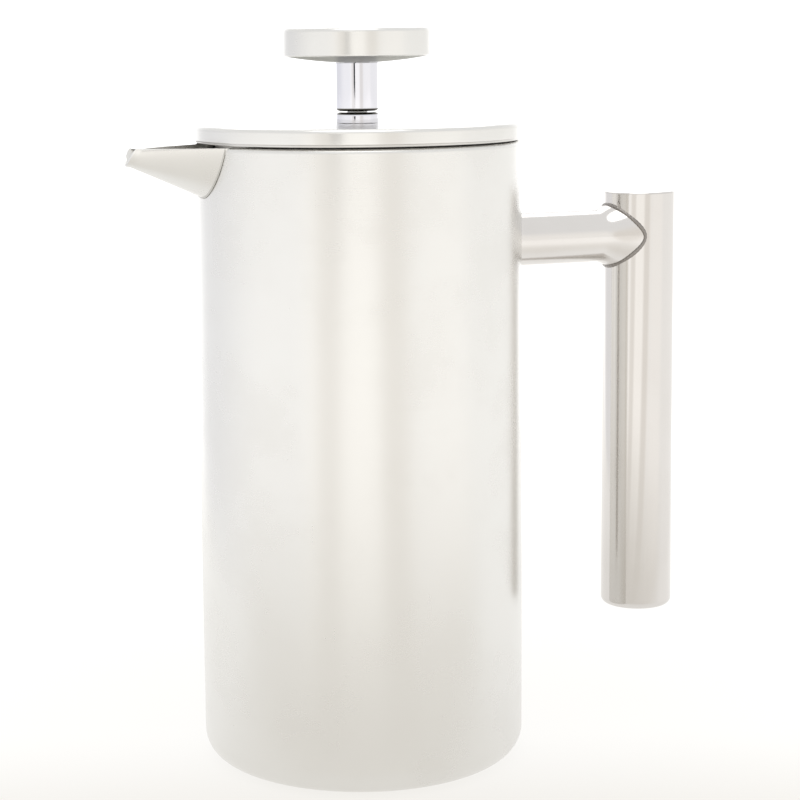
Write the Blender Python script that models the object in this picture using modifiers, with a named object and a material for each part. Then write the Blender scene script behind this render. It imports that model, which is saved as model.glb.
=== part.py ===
"""A one-litre double-walled steel french press with a tubular side handle.

Run with: blender --background --python part.py. Metres, +Z up. The origin is on the pot's axis, on the flat
underside that it stands on. The handle points along +X and the spout along -X. The plunger is pressed down.
"""

import math

import bmesh
import bpy
from mathutils import Matrix

MM = 0.001

# ---- Fits -------------------------------------------------------------------------------------------------
SEAM = 0.3 * MM  # between two pieces that touch or are welded
RUNNING = 0.3 * MM  # round a piece that slides or turns
LID_SLACK = 0.8 * MM  # round the lid's skirt, inside the mouth

# ---- Pot --------------------------------------------------------------------------------------------------
BODY_DIAMETER = 100 * MM
BODY_HEIGHT = 191.5 * MM
BASE_FILLET = 8 * MM  # outside corner between the wall and the underside
RIM_FILLET = 1.6 * MM
SHELL_WALL = 0.8 * MM
VESSEL_WALL = 0.8 * MM
AIR_GAP = 4 * MM  # between the two walls
FLOOR_GAP = 5 * MM  # between the base plate and the vessel's floor
VESSEL_FILLET = 6 * MM
BASE_FLANGE = 4 * MM  # width of the shell's turned-in foot
BASE_PLATE_WALL = 0.8 * MM
GROOVE_INSET = 10.7 * MM  # from the base plate's edge to its stamped ring
GROOVE_WIDTH = 4 * MM
GROOVE_DEPTH = 0.5 * MM

# ---- Spout: an open trough with a narrow keel -------------------------------------------------------------
SPOUT_REACH = 24 * MM  # from the wall to the tip of the lip
SPOUT_HALF_WIDTH = 15.3 * MM  # where it leaves the wall
SPOUT_DEPTH = 15.2 * MM  # where it leaves the wall
SPOUT_TIP_HALF_WIDTH = 3.2 * MM
SPOUT_TIP_DEPTH = 4.8 * MM
SPOUT_TIP_RAKE = 0.6 * MM  # how far the lip leans out over the keel
SPOUT_DROP = 0.5 * MM  # from the rim to the spout's edge
SPOUT_WALL = 0.8 * MM
SPOUT_KEEL = 1.5  # 1 gives half an ellipse in section, more gives a narrower keel

# ---- Handle: a level arm and an upright grip --------------------------------------------------------------
ARM_DIAMETER = 16.7 * MM
ARM_WALL = 1.2 * MM
ARM_DROP = 32.5 * MM  # from the rim down to the arm's axis
ARM_FLARE_LENGTH = 3.5 * MM  # before the grip's near side
ARM_FLARE_MARGIN = 0.6 * MM  # how much narrower than the grip the arm is where it closes round it
ARM_FLARE_RISE = 1.75 * MM  # how far the arm's top and bottom flare there
GRIP_DIAMETER = 23 * MM
GRIP_WALL = 1.2 * MM
GRIP_REACH = 48 * MM  # from the wall to the grip's axis
GRIP_RISE = 14 * MM  # from the arm's axis to the grip's top
GRIP_LENGTH = 136.7 * MM
TOP_CAP_THICKNESS = 1.6 * MM
TOP_CAP_EDGE = 0.6 * MM
BOTTOM_CAP_THICKNESS = 3.2 * MM
BOTTOM_CAP_EDGE = 2 * MM
CAP_SPIGOT = 3 * MM  # depth that a cap reaches into the grip

# ---- Lid --------------------------------------------------------------------------------------------------
LID_OVERHANG = 0.5 * MM  # beyond the wall
LID_SHADOW_GAP = 1 * MM  # between the rim and the cover's edge
LID_SIDE = 4.5 * MM  # height of the cover's edge band
LID_WALL = 0.8 * MM
LID_EDGE = 1.3 * MM
SKIRT_DEPTH = 12 * MM
SKIRT_WALL = 0.8 * MM
SLOT_COUNT = 24
SLOT_WIDTH = 2.4 * MM
SLOT_HEIGHT = 6 * MM
BOSS_DIAMETER = 13 * MM
BOSS_HEIGHT = 3 * MM
BOSS_EDGE = 1.5 * MM
BOSS_SHANK_DIAMETER = 9 * MM
WASHER_DIAMETER = 17 * MM
WASHER_THICKNESS = 0.8 * MM
BOSS_NUT_WIDTH = 13 * MM  # across flats
BOSS_NUT_THICKNESS = 3 * MM

# ---- Plunger ----------------------------------------------------------------------------------------------
ROD_DIAMETER = 6 * MM
GROUNDS_SPACE = 16 * MM  # left under the filter when it is down
CROSS_PLATE_INSET = 3.4 * MM  # from the bore to the plate's edge
MESH_INSET = 0.8 * MM
COIL_DIAMETER = 4.2 * MM  # of the spring round the filter
COIL_WIRE_DIAMETER = 0.9 * MM
COIL_TURNS = 48
PLATE_WALL = 0.8 * MM
MESH_WALL = 0.4 * MM
COIL_PLATE_CROWN = 3.4 * MM  # how far its middle stands above its edge
PORT_COUNT = 12
PORT_DIAMETER = 9 * MM
PORT_INSET = 12.6 * MM  # from the coil plate's edge to the ports' circle
WINDOW_COUNT = 4
WINDOW_INNER_RADIUS = 13 * MM
WINDOW_RIM = 8 * MM  # left outside the windows
WINDOW_SPOKE = 9 * MM  # width of the arms between the windows
HUB_WIDTH = 12 * MM  # across flats
HUB_HEIGHT = 5 * MM
COLLAR_DIAMETER = 13 * MM
COLLAR_HEIGHT = 3 * MM
SLEEVE_DIAMETER = 13 * MM
SLEEVE_HEIGHT = 15.6 * MM
SLEEVE_EDGE = 1.2 * MM
SLEEVE_REST_GAP = 0.4 * MM  # above the boss, where the plunger stops
KNOB_DIAMETER = 45.6 * MM
KNOB_SIDE = 8.4 * MM
KNOB_EDGE = 1.2 * MM
KNOB_CROWN = 0.6 * MM  # of the top
KNOB_BELLY = 1.8 * MM  # of the underside
KNOB_WALL = 0.8 * MM
KNOB_NUT_WIDTH = 11 * MM
KNOB_NUT_THICKNESS = 3 * MM
KNOB_STUD_DIAMETER = 8 * MM

# ---- Facets -----------------------------------------------------------------------------------------------
BODY_STEPS = 48
KNOB_STEPS = 40
TUBE_STEPS = 32
SMALL_STEPS = 20
SPOUT_STEPS = 14
ARM_FLARE_STEPS = 3
COIL_POINTS = 7  # along each turn of the filter's spring

# ---- Places that follow from the sizes --------------------------------------------------------------------
BODY_RADIUS = BODY_DIAMETER / 2
VESSEL_RADIUS = BODY_RADIUS - SHELL_WALL - AIR_GAP  # outside of the inner wall
BORE_RADIUS = VESSEL_RADIUS - VESSEL_WALL
VESSEL_FLOOR = BASE_PLATE_WALL + FLOOR_GAP  # underside of the inner floor
FOOT_RADIUS = BODY_RADIUS - BASE_FILLET - BASE_FLANGE
BASE_PLATE_RADIUS = FOOT_RADIUS - SEAM
GROOVE_RADIUS = BASE_PLATE_RADIUS - GROOVE_INSET
ARM_HEIGHT = BODY_HEIGHT - ARM_DROP
ARM_FLARE_WIDTH = GRIP_DIAMETER - ARM_FLARE_MARGIN
ARM_FLARE_HEIGHT = ARM_DIAMETER + 2 * ARM_FLARE_RISE
GRIP_DISTANCE = BODY_RADIUS + GRIP_REACH
GRIP_TOP = ARM_HEIGHT + GRIP_RISE
GRIP_BOTTOM = GRIP_TOP - GRIP_LENGTH
LID_RADIUS = BODY_RADIUS + LID_OVERHANG
COVER_BOTTOM = BODY_HEIGHT + LID_SHADOW_GAP
COVER_TOP = COVER_BOTTOM + LID_SIDE
LID_BASE_BOTTOM = BODY_HEIGHT + SEAM
SKIRT_RADIUS = BORE_RADIUS - LID_SLACK
SKIRT_BOTTOM = LID_BASE_BOTTOM - SKIRT_DEPTH
SHANK_RADIUS = BOSS_SHANK_DIAMETER / 2
WASHER_TOP = LID_BASE_BOTTOM - SEAM
BOSS_NUT_TOP = WASHER_TOP - WASHER_THICKNESS - SEAM
BOSS_NUT_BOTTOM = BOSS_NUT_TOP - BOSS_NUT_THICKNESS
BOSS_BOTTOM = COVER_TOP + SEAM
BOSS_TOP = BOSS_BOTTOM + BOSS_HEIGHT
ROD_RADIUS = ROD_DIAMETER / 2
ROD_HOLE_RADIUS = ROD_RADIUS + RUNNING
CROSS_PLATE_BOTTOM = VESSEL_FLOOR + VESSEL_WALL + GROUNDS_SPACE
MESH_BOTTOM = CROSS_PLATE_BOTTOM + PLATE_WALL + SEAM
COIL_PLATE_BOTTOM = MESH_BOTTOM + MESH_WALL + SEAM
COIL_HEIGHT = COIL_PLATE_BOTTOM + COIL_DIAMETER / 2
COIL_RING_RADIUS = BORE_RADIUS - RUNNING - COIL_DIAMETER / 2
COIL_PLATE_RADIUS = COIL_RING_RADIUS - COIL_DIAMETER / 2 - SEAM
PORT_CIRCLE_RADIUS = COIL_PLATE_RADIUS - PORT_INSET
MESH_RADIUS = BORE_RADIUS - MESH_INSET
CROSS_PLATE_RADIUS = BORE_RADIUS - CROSS_PLATE_INSET
WINDOW_OUTER_RADIUS = CROSS_PLATE_RADIUS - WINDOW_RIM
COLLAR_BOTTOM = COIL_PLATE_BOTTOM + COIL_PLATE_CROWN + PLATE_WALL + SEAM
HUB_TOP = CROSS_PLATE_BOTTOM - SEAM
ROD_BOTTOM = HUB_TOP - HUB_HEIGHT + SEAM
SLEEVE_BOTTOM = BOSS_TOP + SLEEVE_REST_GAP
KNOB_BOTTOM = SLEEVE_BOTTOM + SLEEVE_HEIGHT - SLEEVE_EDGE + SEAM + KNOB_BELLY  # bottom of the knob's side
KNOB_TOP = KNOB_BOTTOM + KNOB_SIDE
KNOB_BASE_BOTTOM = KNOB_BOTTOM - KNOB_BELLY
KNOB_NUT_BOTTOM = KNOB_BASE_BOTTOM + KNOB_WALL + SEAM
ROD_TOP = SLEEVE_BOTTOM + SLEEVE_HEIGHT - 3 * MM

POLISHED = ("polished_steel", (0.80, 0.79, 0.77), 0.10)
SATIN = ("satin_steel", (0.70, 0.69, 0.67), 0.32)
CHROME = ("bright_chrome", (0.86, 0.87, 0.90), 0.05)
PLAIN = ("plain_steel", (0.66, 0.66, 0.66), 0.30)
SILICONE = ("silicone", (0.12, 0.12, 0.12), 0.60)


# ---- Shape helpers ----------------------------------------------------------------------------------------
def arc(centre_r, centre_z, radius, start, end, steps=4):
    """Points of an arc in the (r, z) plane, from one angle to another in degrees, ends included."""
    angles = [math.radians(start + (end - start) * i / steps) for i in range(steps + 1)]
    return [(centre_r + radius * math.cos(a), centre_z + radius * math.sin(a)) for a in angles]


def material_named(finish):
    """The Principled material of a finish: its name, colour and roughness."""
    name, colour, roughness = finish
    material = bpy.data.materials.get(name)
    if material is None:
        material = bpy.data.materials.new(name)
        material.use_nodes = True
        shader = material.node_tree.nodes["Principled BSDF"]
        shader.inputs["Base Color"].default_value = (*colour, 1)
        shader.inputs["Roughness"].default_value = roughness
        shader.inputs["Metallic"].default_value = 0 if finish is SILICONE else 1
    return material


def add_object(name, data, finish, collection, parent=None):
    """An object of this data in the collection, wearing the finish."""
    obj = bpy.data.objects.new(name, data)
    collection.objects.link(obj)
    if finish:
        data.materials.append(material_named(finish))
    obj.parent = parent
    return obj


def turned(name, profile, finish, collection, closed=False, steps=BODY_STEPS):
    """A shape turned about Z. An open profile runs down its outer side; a closed one is a ring's section."""
    mesh = bpy.data.meshes.new(name)
    count = len(profile)
    edges = [(i, i + 1) for i in range(count - 1)] + ([(count - 1, 0)] if closed else [])
    mesh.from_pydata([(r, 0, z) for r, z in profile], edges, [])
    obj = add_object(name, mesh, finish, collection)
    turn = obj.modifiers.new("Turn", "SCREW")
    turn.axis = "Z"
    turn.angle = math.tau
    turn.steps = turn.render_steps = steps
    turn.use_smooth_shade = True
    turn.use_merge_vertices = True
    turn.merge_threshold = 1e-6
    return obj


def thicken(obj, wall):
    """Gives an open surface its wall, on the side away from its normals."""
    shell = obj.modifiers.new("Wall", "SOLIDIFY")
    shell.thickness = wall
    shell.offset = -1
    shell.use_even_offset = True
    shell.use_quality_normals = True
    return obj


def cut(obj, cutter):
    """Cuts one hidden helper out of the object."""
    boolean = obj.modifiers.new("Cut " + cutter.name, "BOOLEAN")
    boolean.operation = "DIFFERENCE"
    boolean.solver = "EXACT"
    boolean.object = cutter
    return obj


def hide_cutter(obj):
    """Marks a helper, so that it isn't a part."""
    obj.hide_render = True
    obj.display_type = "WIRE"
    return obj


def mesh_object(name, work, finish, collection):
    """An object of a finished bmesh, with its normals pointing out."""
    bmesh.ops.recalc_face_normals(work, faces=work.faces)
    mesh = bpy.data.meshes.new(name)
    work.to_mesh(mesh)
    work.free()
    mesh.shade_smooth()
    mesh.set_sharp_from_angle(angle=math.radians(35))
    return add_object(name, mesh, finish, collection)


def cylinder_cutter(name, radius, bottom, top, centre_x, cutters, steps=BODY_STEPS):
    """A hidden upright cylinder."""
    work = bmesh.new()
    bmesh.ops.create_cone(work, cap_ends=True, segments=steps, radius1=radius, radius2=radius, depth=top - bottom)
    cutter = hide_cutter(mesh_object(name, work, None, cutters))
    cutter.location = (centre_x, 0, (top + bottom) / 2)
    return cutter


def ring(outer, inner, bottom, top, edge=0.0):
    """The closed section of a flat ring, with its outer edges broken by a small chamfer."""
    return [
        (outer - edge, top), (outer, top - edge), (outer, bottom + edge), (outer - edge, bottom),
        (inner, bottom), (inner, top),
    ] if edge else [(outer, top), (outer, bottom), (inner, bottom), (inner, top)]


def hex_nut(name, width, hole_radius, bottom, top, finish, parts, cutters):
    """A hexagon nut with a plain bore."""
    work = bmesh.new()
    corner = width / math.sqrt(3)
    bmesh.ops.create_cone(work, cap_ends=True, segments=6, radius1=corner, radius2=corner, depth=top - bottom)
    nut = mesh_object(name, work, finish, parts)
    nut.location = (0, 0, (top + bottom) / 2)
    margin = width
    bore = cylinder_cutter(name + "_bore", hole_radius, bottom - margin, top + margin, 0, cutters, SMALL_STEPS)
    return cut(nut, bore)


# ---- Pot --------------------------------------------------------------------------------------------------
def spout_ray(angle):
    """The straight line on the spout's outside at an angle round its section, as a start and a direction.

    The line runs from where the spout leaves the pot's wall to its lip.
    """
    fall = math.cos(angle) ** SPOUT_KEEL
    y = SPOUT_HALF_WIDTH * math.sin(angle)
    start = (-math.sqrt(BODY_RADIUS**2 - y**2), y, -SPOUT_DEPTH * fall)
    tip_x = -(BODY_RADIUS + SPOUT_REACH) + SPOUT_TIP_RAKE * fall
    end = (tip_x, SPOUT_TIP_HALF_WIDTH * math.sin(angle), -SPOUT_TIP_DEPTH * fall)
    return start, tuple(e - s for s, e in zip(start, end))


def share_at_radius(angle, radius):
    """Where that line meets an upright cylinder about the pot's axis, as a share of the line."""
    (x, y, _), (dx, dy, _) = spout_ray(angle)
    a, b, c = dx * dx + dy * dy, 2 * (x * dx + y * dy), x * x + y * y - radius * radius
    return (-b + math.sqrt(b * b - 4 * a * c)) / (2 * a)


def spout_point(angle, share, grow=0.0):
    """A point of the spout's outside, pushed out sideways and down by grow."""
    (x, y, z), (dx, dy, dz) = spout_ray(angle)
    edge = BODY_HEIGHT - SPOUT_DROP
    return (
        x + dx * share,
        y + dy * share + grow * math.sin(angle),
        edge + z + dz * share - grow * math.cos(angle),
    )


def spout_angles():
    """Angles round the section, from one upper edge through the keel to the other."""
    return [0.999 * math.pi * (i / SPOUT_STEPS - 0.5) for i in range(SPOUT_STEPS + 1)]


def make_spout(parts):
    """The trough, from the vessel's bore through both walls to the lip."""
    work = bmesh.new()
    rows = []
    for angle in spout_angles():
        inner = share_at_radius(angle, BORE_RADIUS + SEAM)
        rows.append([work.verts.new(spout_point(angle, s)) for s in (inner, 0.0, 0.5, 1.0)])
    for row, following in zip(rows, rows[1:]):
        for i in range(len(row) - 1):
            work.faces.new((row[i], row[i + 1], following[i + 1], following[i]))
    mesh = bpy.data.meshes.new("spout")
    work.to_mesh(mesh)
    work.free()
    spout = add_object("spout", mesh, POLISHED, parts)
    mesh.shade_smooth()
    return thicken(spout, SPOUT_WALL)


def make_spout_cutter(cutters):
    """The solid that the spout passes through the walls in, open above the rim."""
    work = bmesh.new()
    above = BODY_HEIGHT + 10 * MM
    rings = []
    for share in (-0.9, 0.9):
        points = [spout_point(angle, share, SEAM) for angle in spout_angles()]
        x_flat = points[0][0]
        points = [(x_flat, points[0][1], above), *points, (points[-1][0], points[-1][1], above)]
        rings.append([work.verts.new(p) for p in points])
    count = len(rings[0])
    for i in range(count):
        j = (i + 1) % count
        work.faces.new((rings[0][i], rings[0][j], rings[1][j], rings[1][i]))
    for points in rings:
        work.faces.new(points)
    bmesh.ops.triangulate(work, faces=work.faces)
    return hide_cutter(mesh_object("spout_cutter", work, None, cutters))


def make_pot(parts, cutters):
    """The two walls, the base plate and the spout."""
    rim_inner = VESSEL_RADIUS + SEAM
    shell_profile = [
        (rim_inner, BODY_HEIGHT),
        *arc(BODY_RADIUS - RIM_FILLET, BODY_HEIGHT - RIM_FILLET, RIM_FILLET, 90, 0),
        *arc(BODY_RADIUS - BASE_FILLET, BASE_FILLET, BASE_FILLET, 0, -90, 6),
        (FOOT_RADIUS, 0),
    ]
    shell = thicken(turned("outer_shell", shell_profile, POLISHED, parts), SHELL_WALL)
    vessel_profile = [
        (VESSEL_RADIUS, BODY_HEIGHT),
        *arc(VESSEL_RADIUS - VESSEL_FILLET, VESSEL_FLOOR + VESSEL_FILLET, VESSEL_FILLET, 0, -90, 5),
        (0, VESSEL_FLOOR),
    ]
    vessel = thicken(turned("inner_vessel", vessel_profile, SATIN, parts), VESSEL_WALL)
    cutter = make_spout_cutter(cutters)
    cut(shell, cutter)
    cut(vessel, cutter)
    groove_in, groove_out = GROOVE_RADIUS - GROOVE_WIDTH / 2, GROOVE_RADIUS + GROOVE_WIDTH / 2
    plate_profile = [
        (0, BASE_PLATE_WALL), (groove_in, BASE_PLATE_WALL),
        (groove_in + GROOVE_DEPTH, BASE_PLATE_WALL + GROOVE_DEPTH),
        (groove_out - GROOVE_DEPTH, BASE_PLATE_WALL + GROOVE_DEPTH), (groove_out, BASE_PLATE_WALL),
        (BASE_PLATE_RADIUS, BASE_PLATE_WALL), (BASE_PLATE_RADIUS, 0),
        (groove_out, 0), (groove_out - GROOVE_DEPTH, GROOVE_DEPTH),
        (groove_in + GROOVE_DEPTH, GROOVE_DEPTH), (groove_in, 0), (0, 0),
    ]
    turned("base_plate", plate_profile, SATIN, parts, steps=KNOB_STEPS)
    make_spout(parts)


# ---- Handle -----------------------------------------------------------------------------------------------
def arm_stations():
    """The arm's outside from the wall to the grip, as distances with half widths and half heights."""
    radius, grip_radius = ARM_DIAMETER / 2, GRIP_DIAMETER / 2
    wider, taller = ARM_FLARE_WIDTH / 2 - radius, ARM_FLARE_HEIGHT / 2 - radius
    near_side = GRIP_DISTANCE - grip_radius
    stations = [(BODY_RADIUS - ARM_DIAMETER / 4, radius, radius)]
    for i in range(ARM_FLARE_STEPS + 1):
        share = i / ARM_FLARE_STEPS
        place = near_side - ARM_FLARE_LENGTH * (1 - share)
        stations.append((place, radius + wider * share**2 / 2, radius + taller * share**2))
    buried = GRIP_DISTANCE - math.sqrt(grip_radius**2 - (radius + wider) ** 2)
    stations.append((buried, radius + wider, radius + taller))
    return stations


def make_arm(parts, cutters):
    """The level tube: coped to the wall at one end, and flared and coped to the grip at the other."""
    outside = arm_stations()
    inside = [(place, half_y - ARM_WALL, half_z - ARM_WALL) for place, half_y, half_z in reversed(outside)]
    work = bmesh.new()
    turns = [math.tau * i / TUBE_STEPS for i in range(TUBE_STEPS)]
    rings = [
        [work.verts.new((place, half_y * math.cos(turn), half_z * math.sin(turn))) for turn in turns]
        for place, half_y, half_z in outside + inside
    ]
    for first, second in zip(rings, rings[1:] + rings[:1]):
        for i in range(TUBE_STEPS):
            work.faces.new((first[i - 1], first[i], second[i], second[i - 1]))
    arm = mesh_object("handle_arm", work, POLISHED, parts)
    arm.location = (0, 0, ARM_HEIGHT)
    low, high = ARM_HEIGHT - ARM_DIAMETER, ARM_HEIGHT + ARM_DIAMETER
    cut(arm, cylinder_cutter("arm_wall_cutter", BODY_RADIUS + SEAM, low, high, 0, cutters))
    grip_fit = GRIP_DIAMETER / 2 + SEAM
    cut(arm, cylinder_cutter("arm_grip_cutter", grip_fit, low, high, GRIP_DISTANCE, cutters, TUBE_STEPS))


def make_cap(name, end, inward, thickness, edge, steps, parts):
    """A disc that closes one end of the grip: its face lies at end, and inward is +1 or -1 along Z."""
    radius = GRIP_DIAMETER / 2
    spigot = radius - GRIP_WALL - SEAM
    seat = thickness
    tip = thickness + CAP_SPIGOT
    outline = [(0, 0), *[(r, -z) for r, z in arc(radius - edge, -edge, edge, 90, 0, 4)],
               (radius, seat), (spigot, seat), (spigot, tip), (0, tip)]
    profile = [(r, end + inward * z) for r, z in outline]
    cap = turned(name, profile if inward < 0 else profile[::-1], POLISHED, parts, steps=steps)
    cap.location = (GRIP_DISTANCE, 0, 0)
    return cap


def make_handle(parts, cutters):
    """The arm, the upright grip and the caps in its ends."""
    make_arm(parts, cutters)
    radius = GRIP_DIAMETER / 2
    tube_bottom = GRIP_BOTTOM + BOTTOM_CAP_THICKNESS + SEAM
    tube_top = GRIP_TOP - TOP_CAP_THICKNESS - SEAM
    section = ring(radius, radius - GRIP_WALL, tube_bottom, tube_top)
    grip = turned("handle_grip", section, POLISHED, parts, closed=True, steps=TUBE_STEPS)
    grip.location = (GRIP_DISTANCE, 0, 0)
    make_cap("grip_cap_top", GRIP_TOP, -1, TOP_CAP_THICKNESS, TOP_CAP_EDGE, TUBE_STEPS, parts)
    make_cap("grip_cap_bottom", GRIP_BOTTOM, 1, BOTTOM_CAP_THICKNESS, BOTTOM_CAP_EDGE, TUBE_STEPS, parts)


# ---- Lid --------------------------------------------------------------------------------------------------
def slot_cutter(cutters):
    """The strainer slots of the skirt, as one hidden helper."""
    work = bmesh.new()
    middle = (SKIRT_BOTTOM + LID_BASE_BOTTOM) / 2
    for i in range(SLOT_COUNT):
        bar = bmesh.ops.create_cube(work, size=1)["verts"]
        bmesh.ops.scale(work, vec=(6 * SKIRT_WALL, SLOT_WIDTH, SLOT_HEIGHT), verts=bar)
        bmesh.ops.translate(work, vec=(SKIRT_RADIUS, 0, middle), verts=bar)
        turn = math.tau * (i + 0.5) / SLOT_COUNT
        bmesh.ops.rotate(work, matrix=rotation_z(turn), verts=bar)
    return hide_cutter(mesh_object("slot_cutter", work, None, cutters))


def rotation_z(angle):
    """A rotation about the pot's axis."""
    return Matrix.Rotation(angle, 3, "Z")


def make_lid(parts, cutters):
    """The cover, its underside, the slotted skirt, and the boss with its washer and nut."""
    hole = SHANK_RADIUS + SEAM
    cover_profile = [
        (hole, COVER_TOP),
        *arc(LID_RADIUS - LID_EDGE, COVER_TOP - LID_EDGE, LID_EDGE, 90, 0, 4),
        (LID_RADIUS, COVER_BOTTOM),
    ]
    thicken(turned("lid_cover", cover_profile, POLISHED, parts), LID_WALL)
    base_radius = LID_RADIUS - LID_WALL - SEAM
    base_section = ring(base_radius, hole, LID_BASE_BOTTOM, LID_BASE_BOTTOM + LID_WALL)
    turned("lid_base", base_section, SATIN, parts, closed=True)
    skirt_section = ring(SKIRT_RADIUS, SKIRT_RADIUS - SKIRT_WALL, SKIRT_BOTTOM, LID_BASE_BOTTOM - SEAM)
    skirt = turned("lid_skirt", skirt_section, SATIN, parts, closed=True)
    cut(skirt, slot_cutter(cutters))
    boss_radius = BOSS_DIAMETER / 2
    shank_end = BOSS_NUT_BOTTOM - 0.5 * MM
    boss_profile = [
        (ROD_HOLE_RADIUS, BOSS_TOP),
        *arc(boss_radius - BOSS_EDGE, BOSS_TOP - BOSS_EDGE, BOSS_EDGE, 90, 0, 4),
        (boss_radius, BOSS_BOTTOM), (SHANK_RADIUS, BOSS_BOTTOM), (SHANK_RADIUS, shank_end),
        (ROD_HOLE_RADIUS, shank_end),
    ]
    turned("lid_boss", boss_profile, CHROME, parts, closed=True, steps=TUBE_STEPS)
    washer_section = ring(WASHER_DIAMETER / 2, hole, WASHER_TOP - WASHER_THICKNESS, WASHER_TOP)
    turned("boss_washer", washer_section, SILICONE, parts, closed=True, steps=SMALL_STEPS)
    hex_nut("boss_nut", BOSS_NUT_WIDTH, hole, BOSS_NUT_BOTTOM, BOSS_NUT_TOP, PLAIN, parts, cutters)


# ---- Plunger ----------------------------------------------------------------------------------------------
def port_cutter(cutters):
    """The round holes of the coil plate, as one hidden helper."""
    work = bmesh.new()
    depth = 4 * COIL_PLATE_CROWN
    for i in range(PORT_COUNT):
        angle = math.tau * i / PORT_COUNT
        hole = bmesh.ops.create_cone(
            work, cap_ends=True, segments=12, radius1=PORT_DIAMETER / 2, radius2=PORT_DIAMETER / 2, depth=depth
        )["verts"]
        offset = (
            PORT_CIRCLE_RADIUS * math.cos(angle),
            PORT_CIRCLE_RADIUS * math.sin(angle),
            COIL_PLATE_BOTTOM,
        )
        bmesh.ops.translate(work, vec=offset, verts=hole)
    return hide_cutter(mesh_object("port_cutter", work, None, cutters))


def window_cutter(cutters):
    """The sector windows between the arms of the cross plate, as one hidden helper."""
    work = bmesh.new()
    steps = 6
    low, high = CROSS_PLATE_BOTTOM - PLATE_WALL, CROSS_PLATE_BOTTOM + 2 * PLATE_WALL
    for i in range(WINDOW_COUNT):
        middle = math.tau * (i + 0.5) / WINDOW_COUNT
        outline = []
        for radius, order in ((WINDOW_OUTER_RADIUS, 1), (WINDOW_INNER_RADIUS, -1)):
            half = math.pi / WINDOW_COUNT - math.asin(WINDOW_SPOKE / 2 / radius)
            turns = [middle + order * half * (2 * k / steps - 1) for k in range(steps + 1)]
            outline += [(radius * math.cos(a), radius * math.sin(a), low) for a in turns]
        floor = work.faces.new([work.verts.new(p) for p in outline])
        raised = bmesh.ops.extrude_face_region(work, geom=[floor])["geom"]
        points = [item for item in raised if isinstance(item, bmesh.types.BMVert)]
        bmesh.ops.translate(work, vec=(0, 0, high - low), verts=points)
    return hide_cutter(mesh_object("window_cutter", work, None, cutters))


def make_coil(parts):
    """The spring that runs round the edge of the filter, as one endless wound wire."""
    wire_radius = COIL_WIRE_DIAMETER / 2
    wound = COIL_DIAMETER / 2 - wire_radius
    count = COIL_TURNS * COIL_POINTS
    curve = bpy.data.curves.new("coil_spring", "CURVE")
    curve.dimensions = "3D"
    curve.bevel_depth = wire_radius
    curve.bevel_resolution = 1
    spline = curve.splines.new("POLY")
    spline.points.add(count - 1)
    spline.use_cyclic_u = True
    for i, point in enumerate(spline.points):
        round_axis, round_wire = math.tau * i / count, math.tau * i / COIL_POINTS
        radius = COIL_RING_RADIUS + wound * math.cos(round_wire)
        height = COIL_HEIGHT + wound * math.sin(round_wire)
        point.co = (radius * math.cos(round_axis), radius * math.sin(round_axis), height, 1)
    add_object("coil_spring", curve, PLAIN, parts)


def make_filter(parts, cutters):
    """The stack at the foot of the rod, from the collar above it to the hub below it."""
    section = ring(COLLAR_DIAMETER / 2, ROD_HOLE_RADIUS, COLLAR_BOTTOM, COLLAR_BOTTOM + COLLAR_HEIGHT, 0.5 * MM)
    turned("rod_collar", section, PLAIN, parts, closed=True, steps=SMALL_STEPS)
    crown = COIL_PLATE_BOTTOM + COIL_PLATE_CROWN + PLATE_WALL
    plate_profile = [
        (ROD_HOLE_RADIUS, crown), (COLLAR_DIAMETER / 2 + 2 * MM, crown),
        (PORT_CIRCLE_RADIUS + PORT_DIAMETER / 2 + 2 * MM, COIL_PLATE_BOTTOM + PLATE_WALL + 1.2 * MM),
        (COIL_PLATE_RADIUS, COIL_PLATE_BOTTOM + PLATE_WALL),
    ]
    plate = thicken(turned("coil_plate", plate_profile, SATIN, parts, steps=KNOB_STEPS), PLATE_WALL)
    cut(plate, port_cutter(cutters))
    make_coil(parts)
    screen_section = ring(MESH_RADIUS, ROD_HOLE_RADIUS, MESH_BOTTOM, MESH_BOTTOM + MESH_WALL)
    turned("mesh_screen", screen_section, PLAIN, parts, closed=True, steps=KNOB_STEPS)
    cross_section = ring(
        CROSS_PLATE_RADIUS, ROD_HOLE_RADIUS, CROSS_PLATE_BOTTOM, CROSS_PLATE_BOTTOM + PLATE_WALL
    )
    cross = turned("cross_plate", cross_section, SATIN, parts, closed=True, steps=KNOB_STEPS)
    cut(cross, window_cutter(cutters))
    hex_nut("filter_hub", HUB_WIDTH, ROD_HOLE_RADIUS, HUB_TOP - HUB_HEIGHT, HUB_TOP, PLAIN, parts, cutters)


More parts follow.
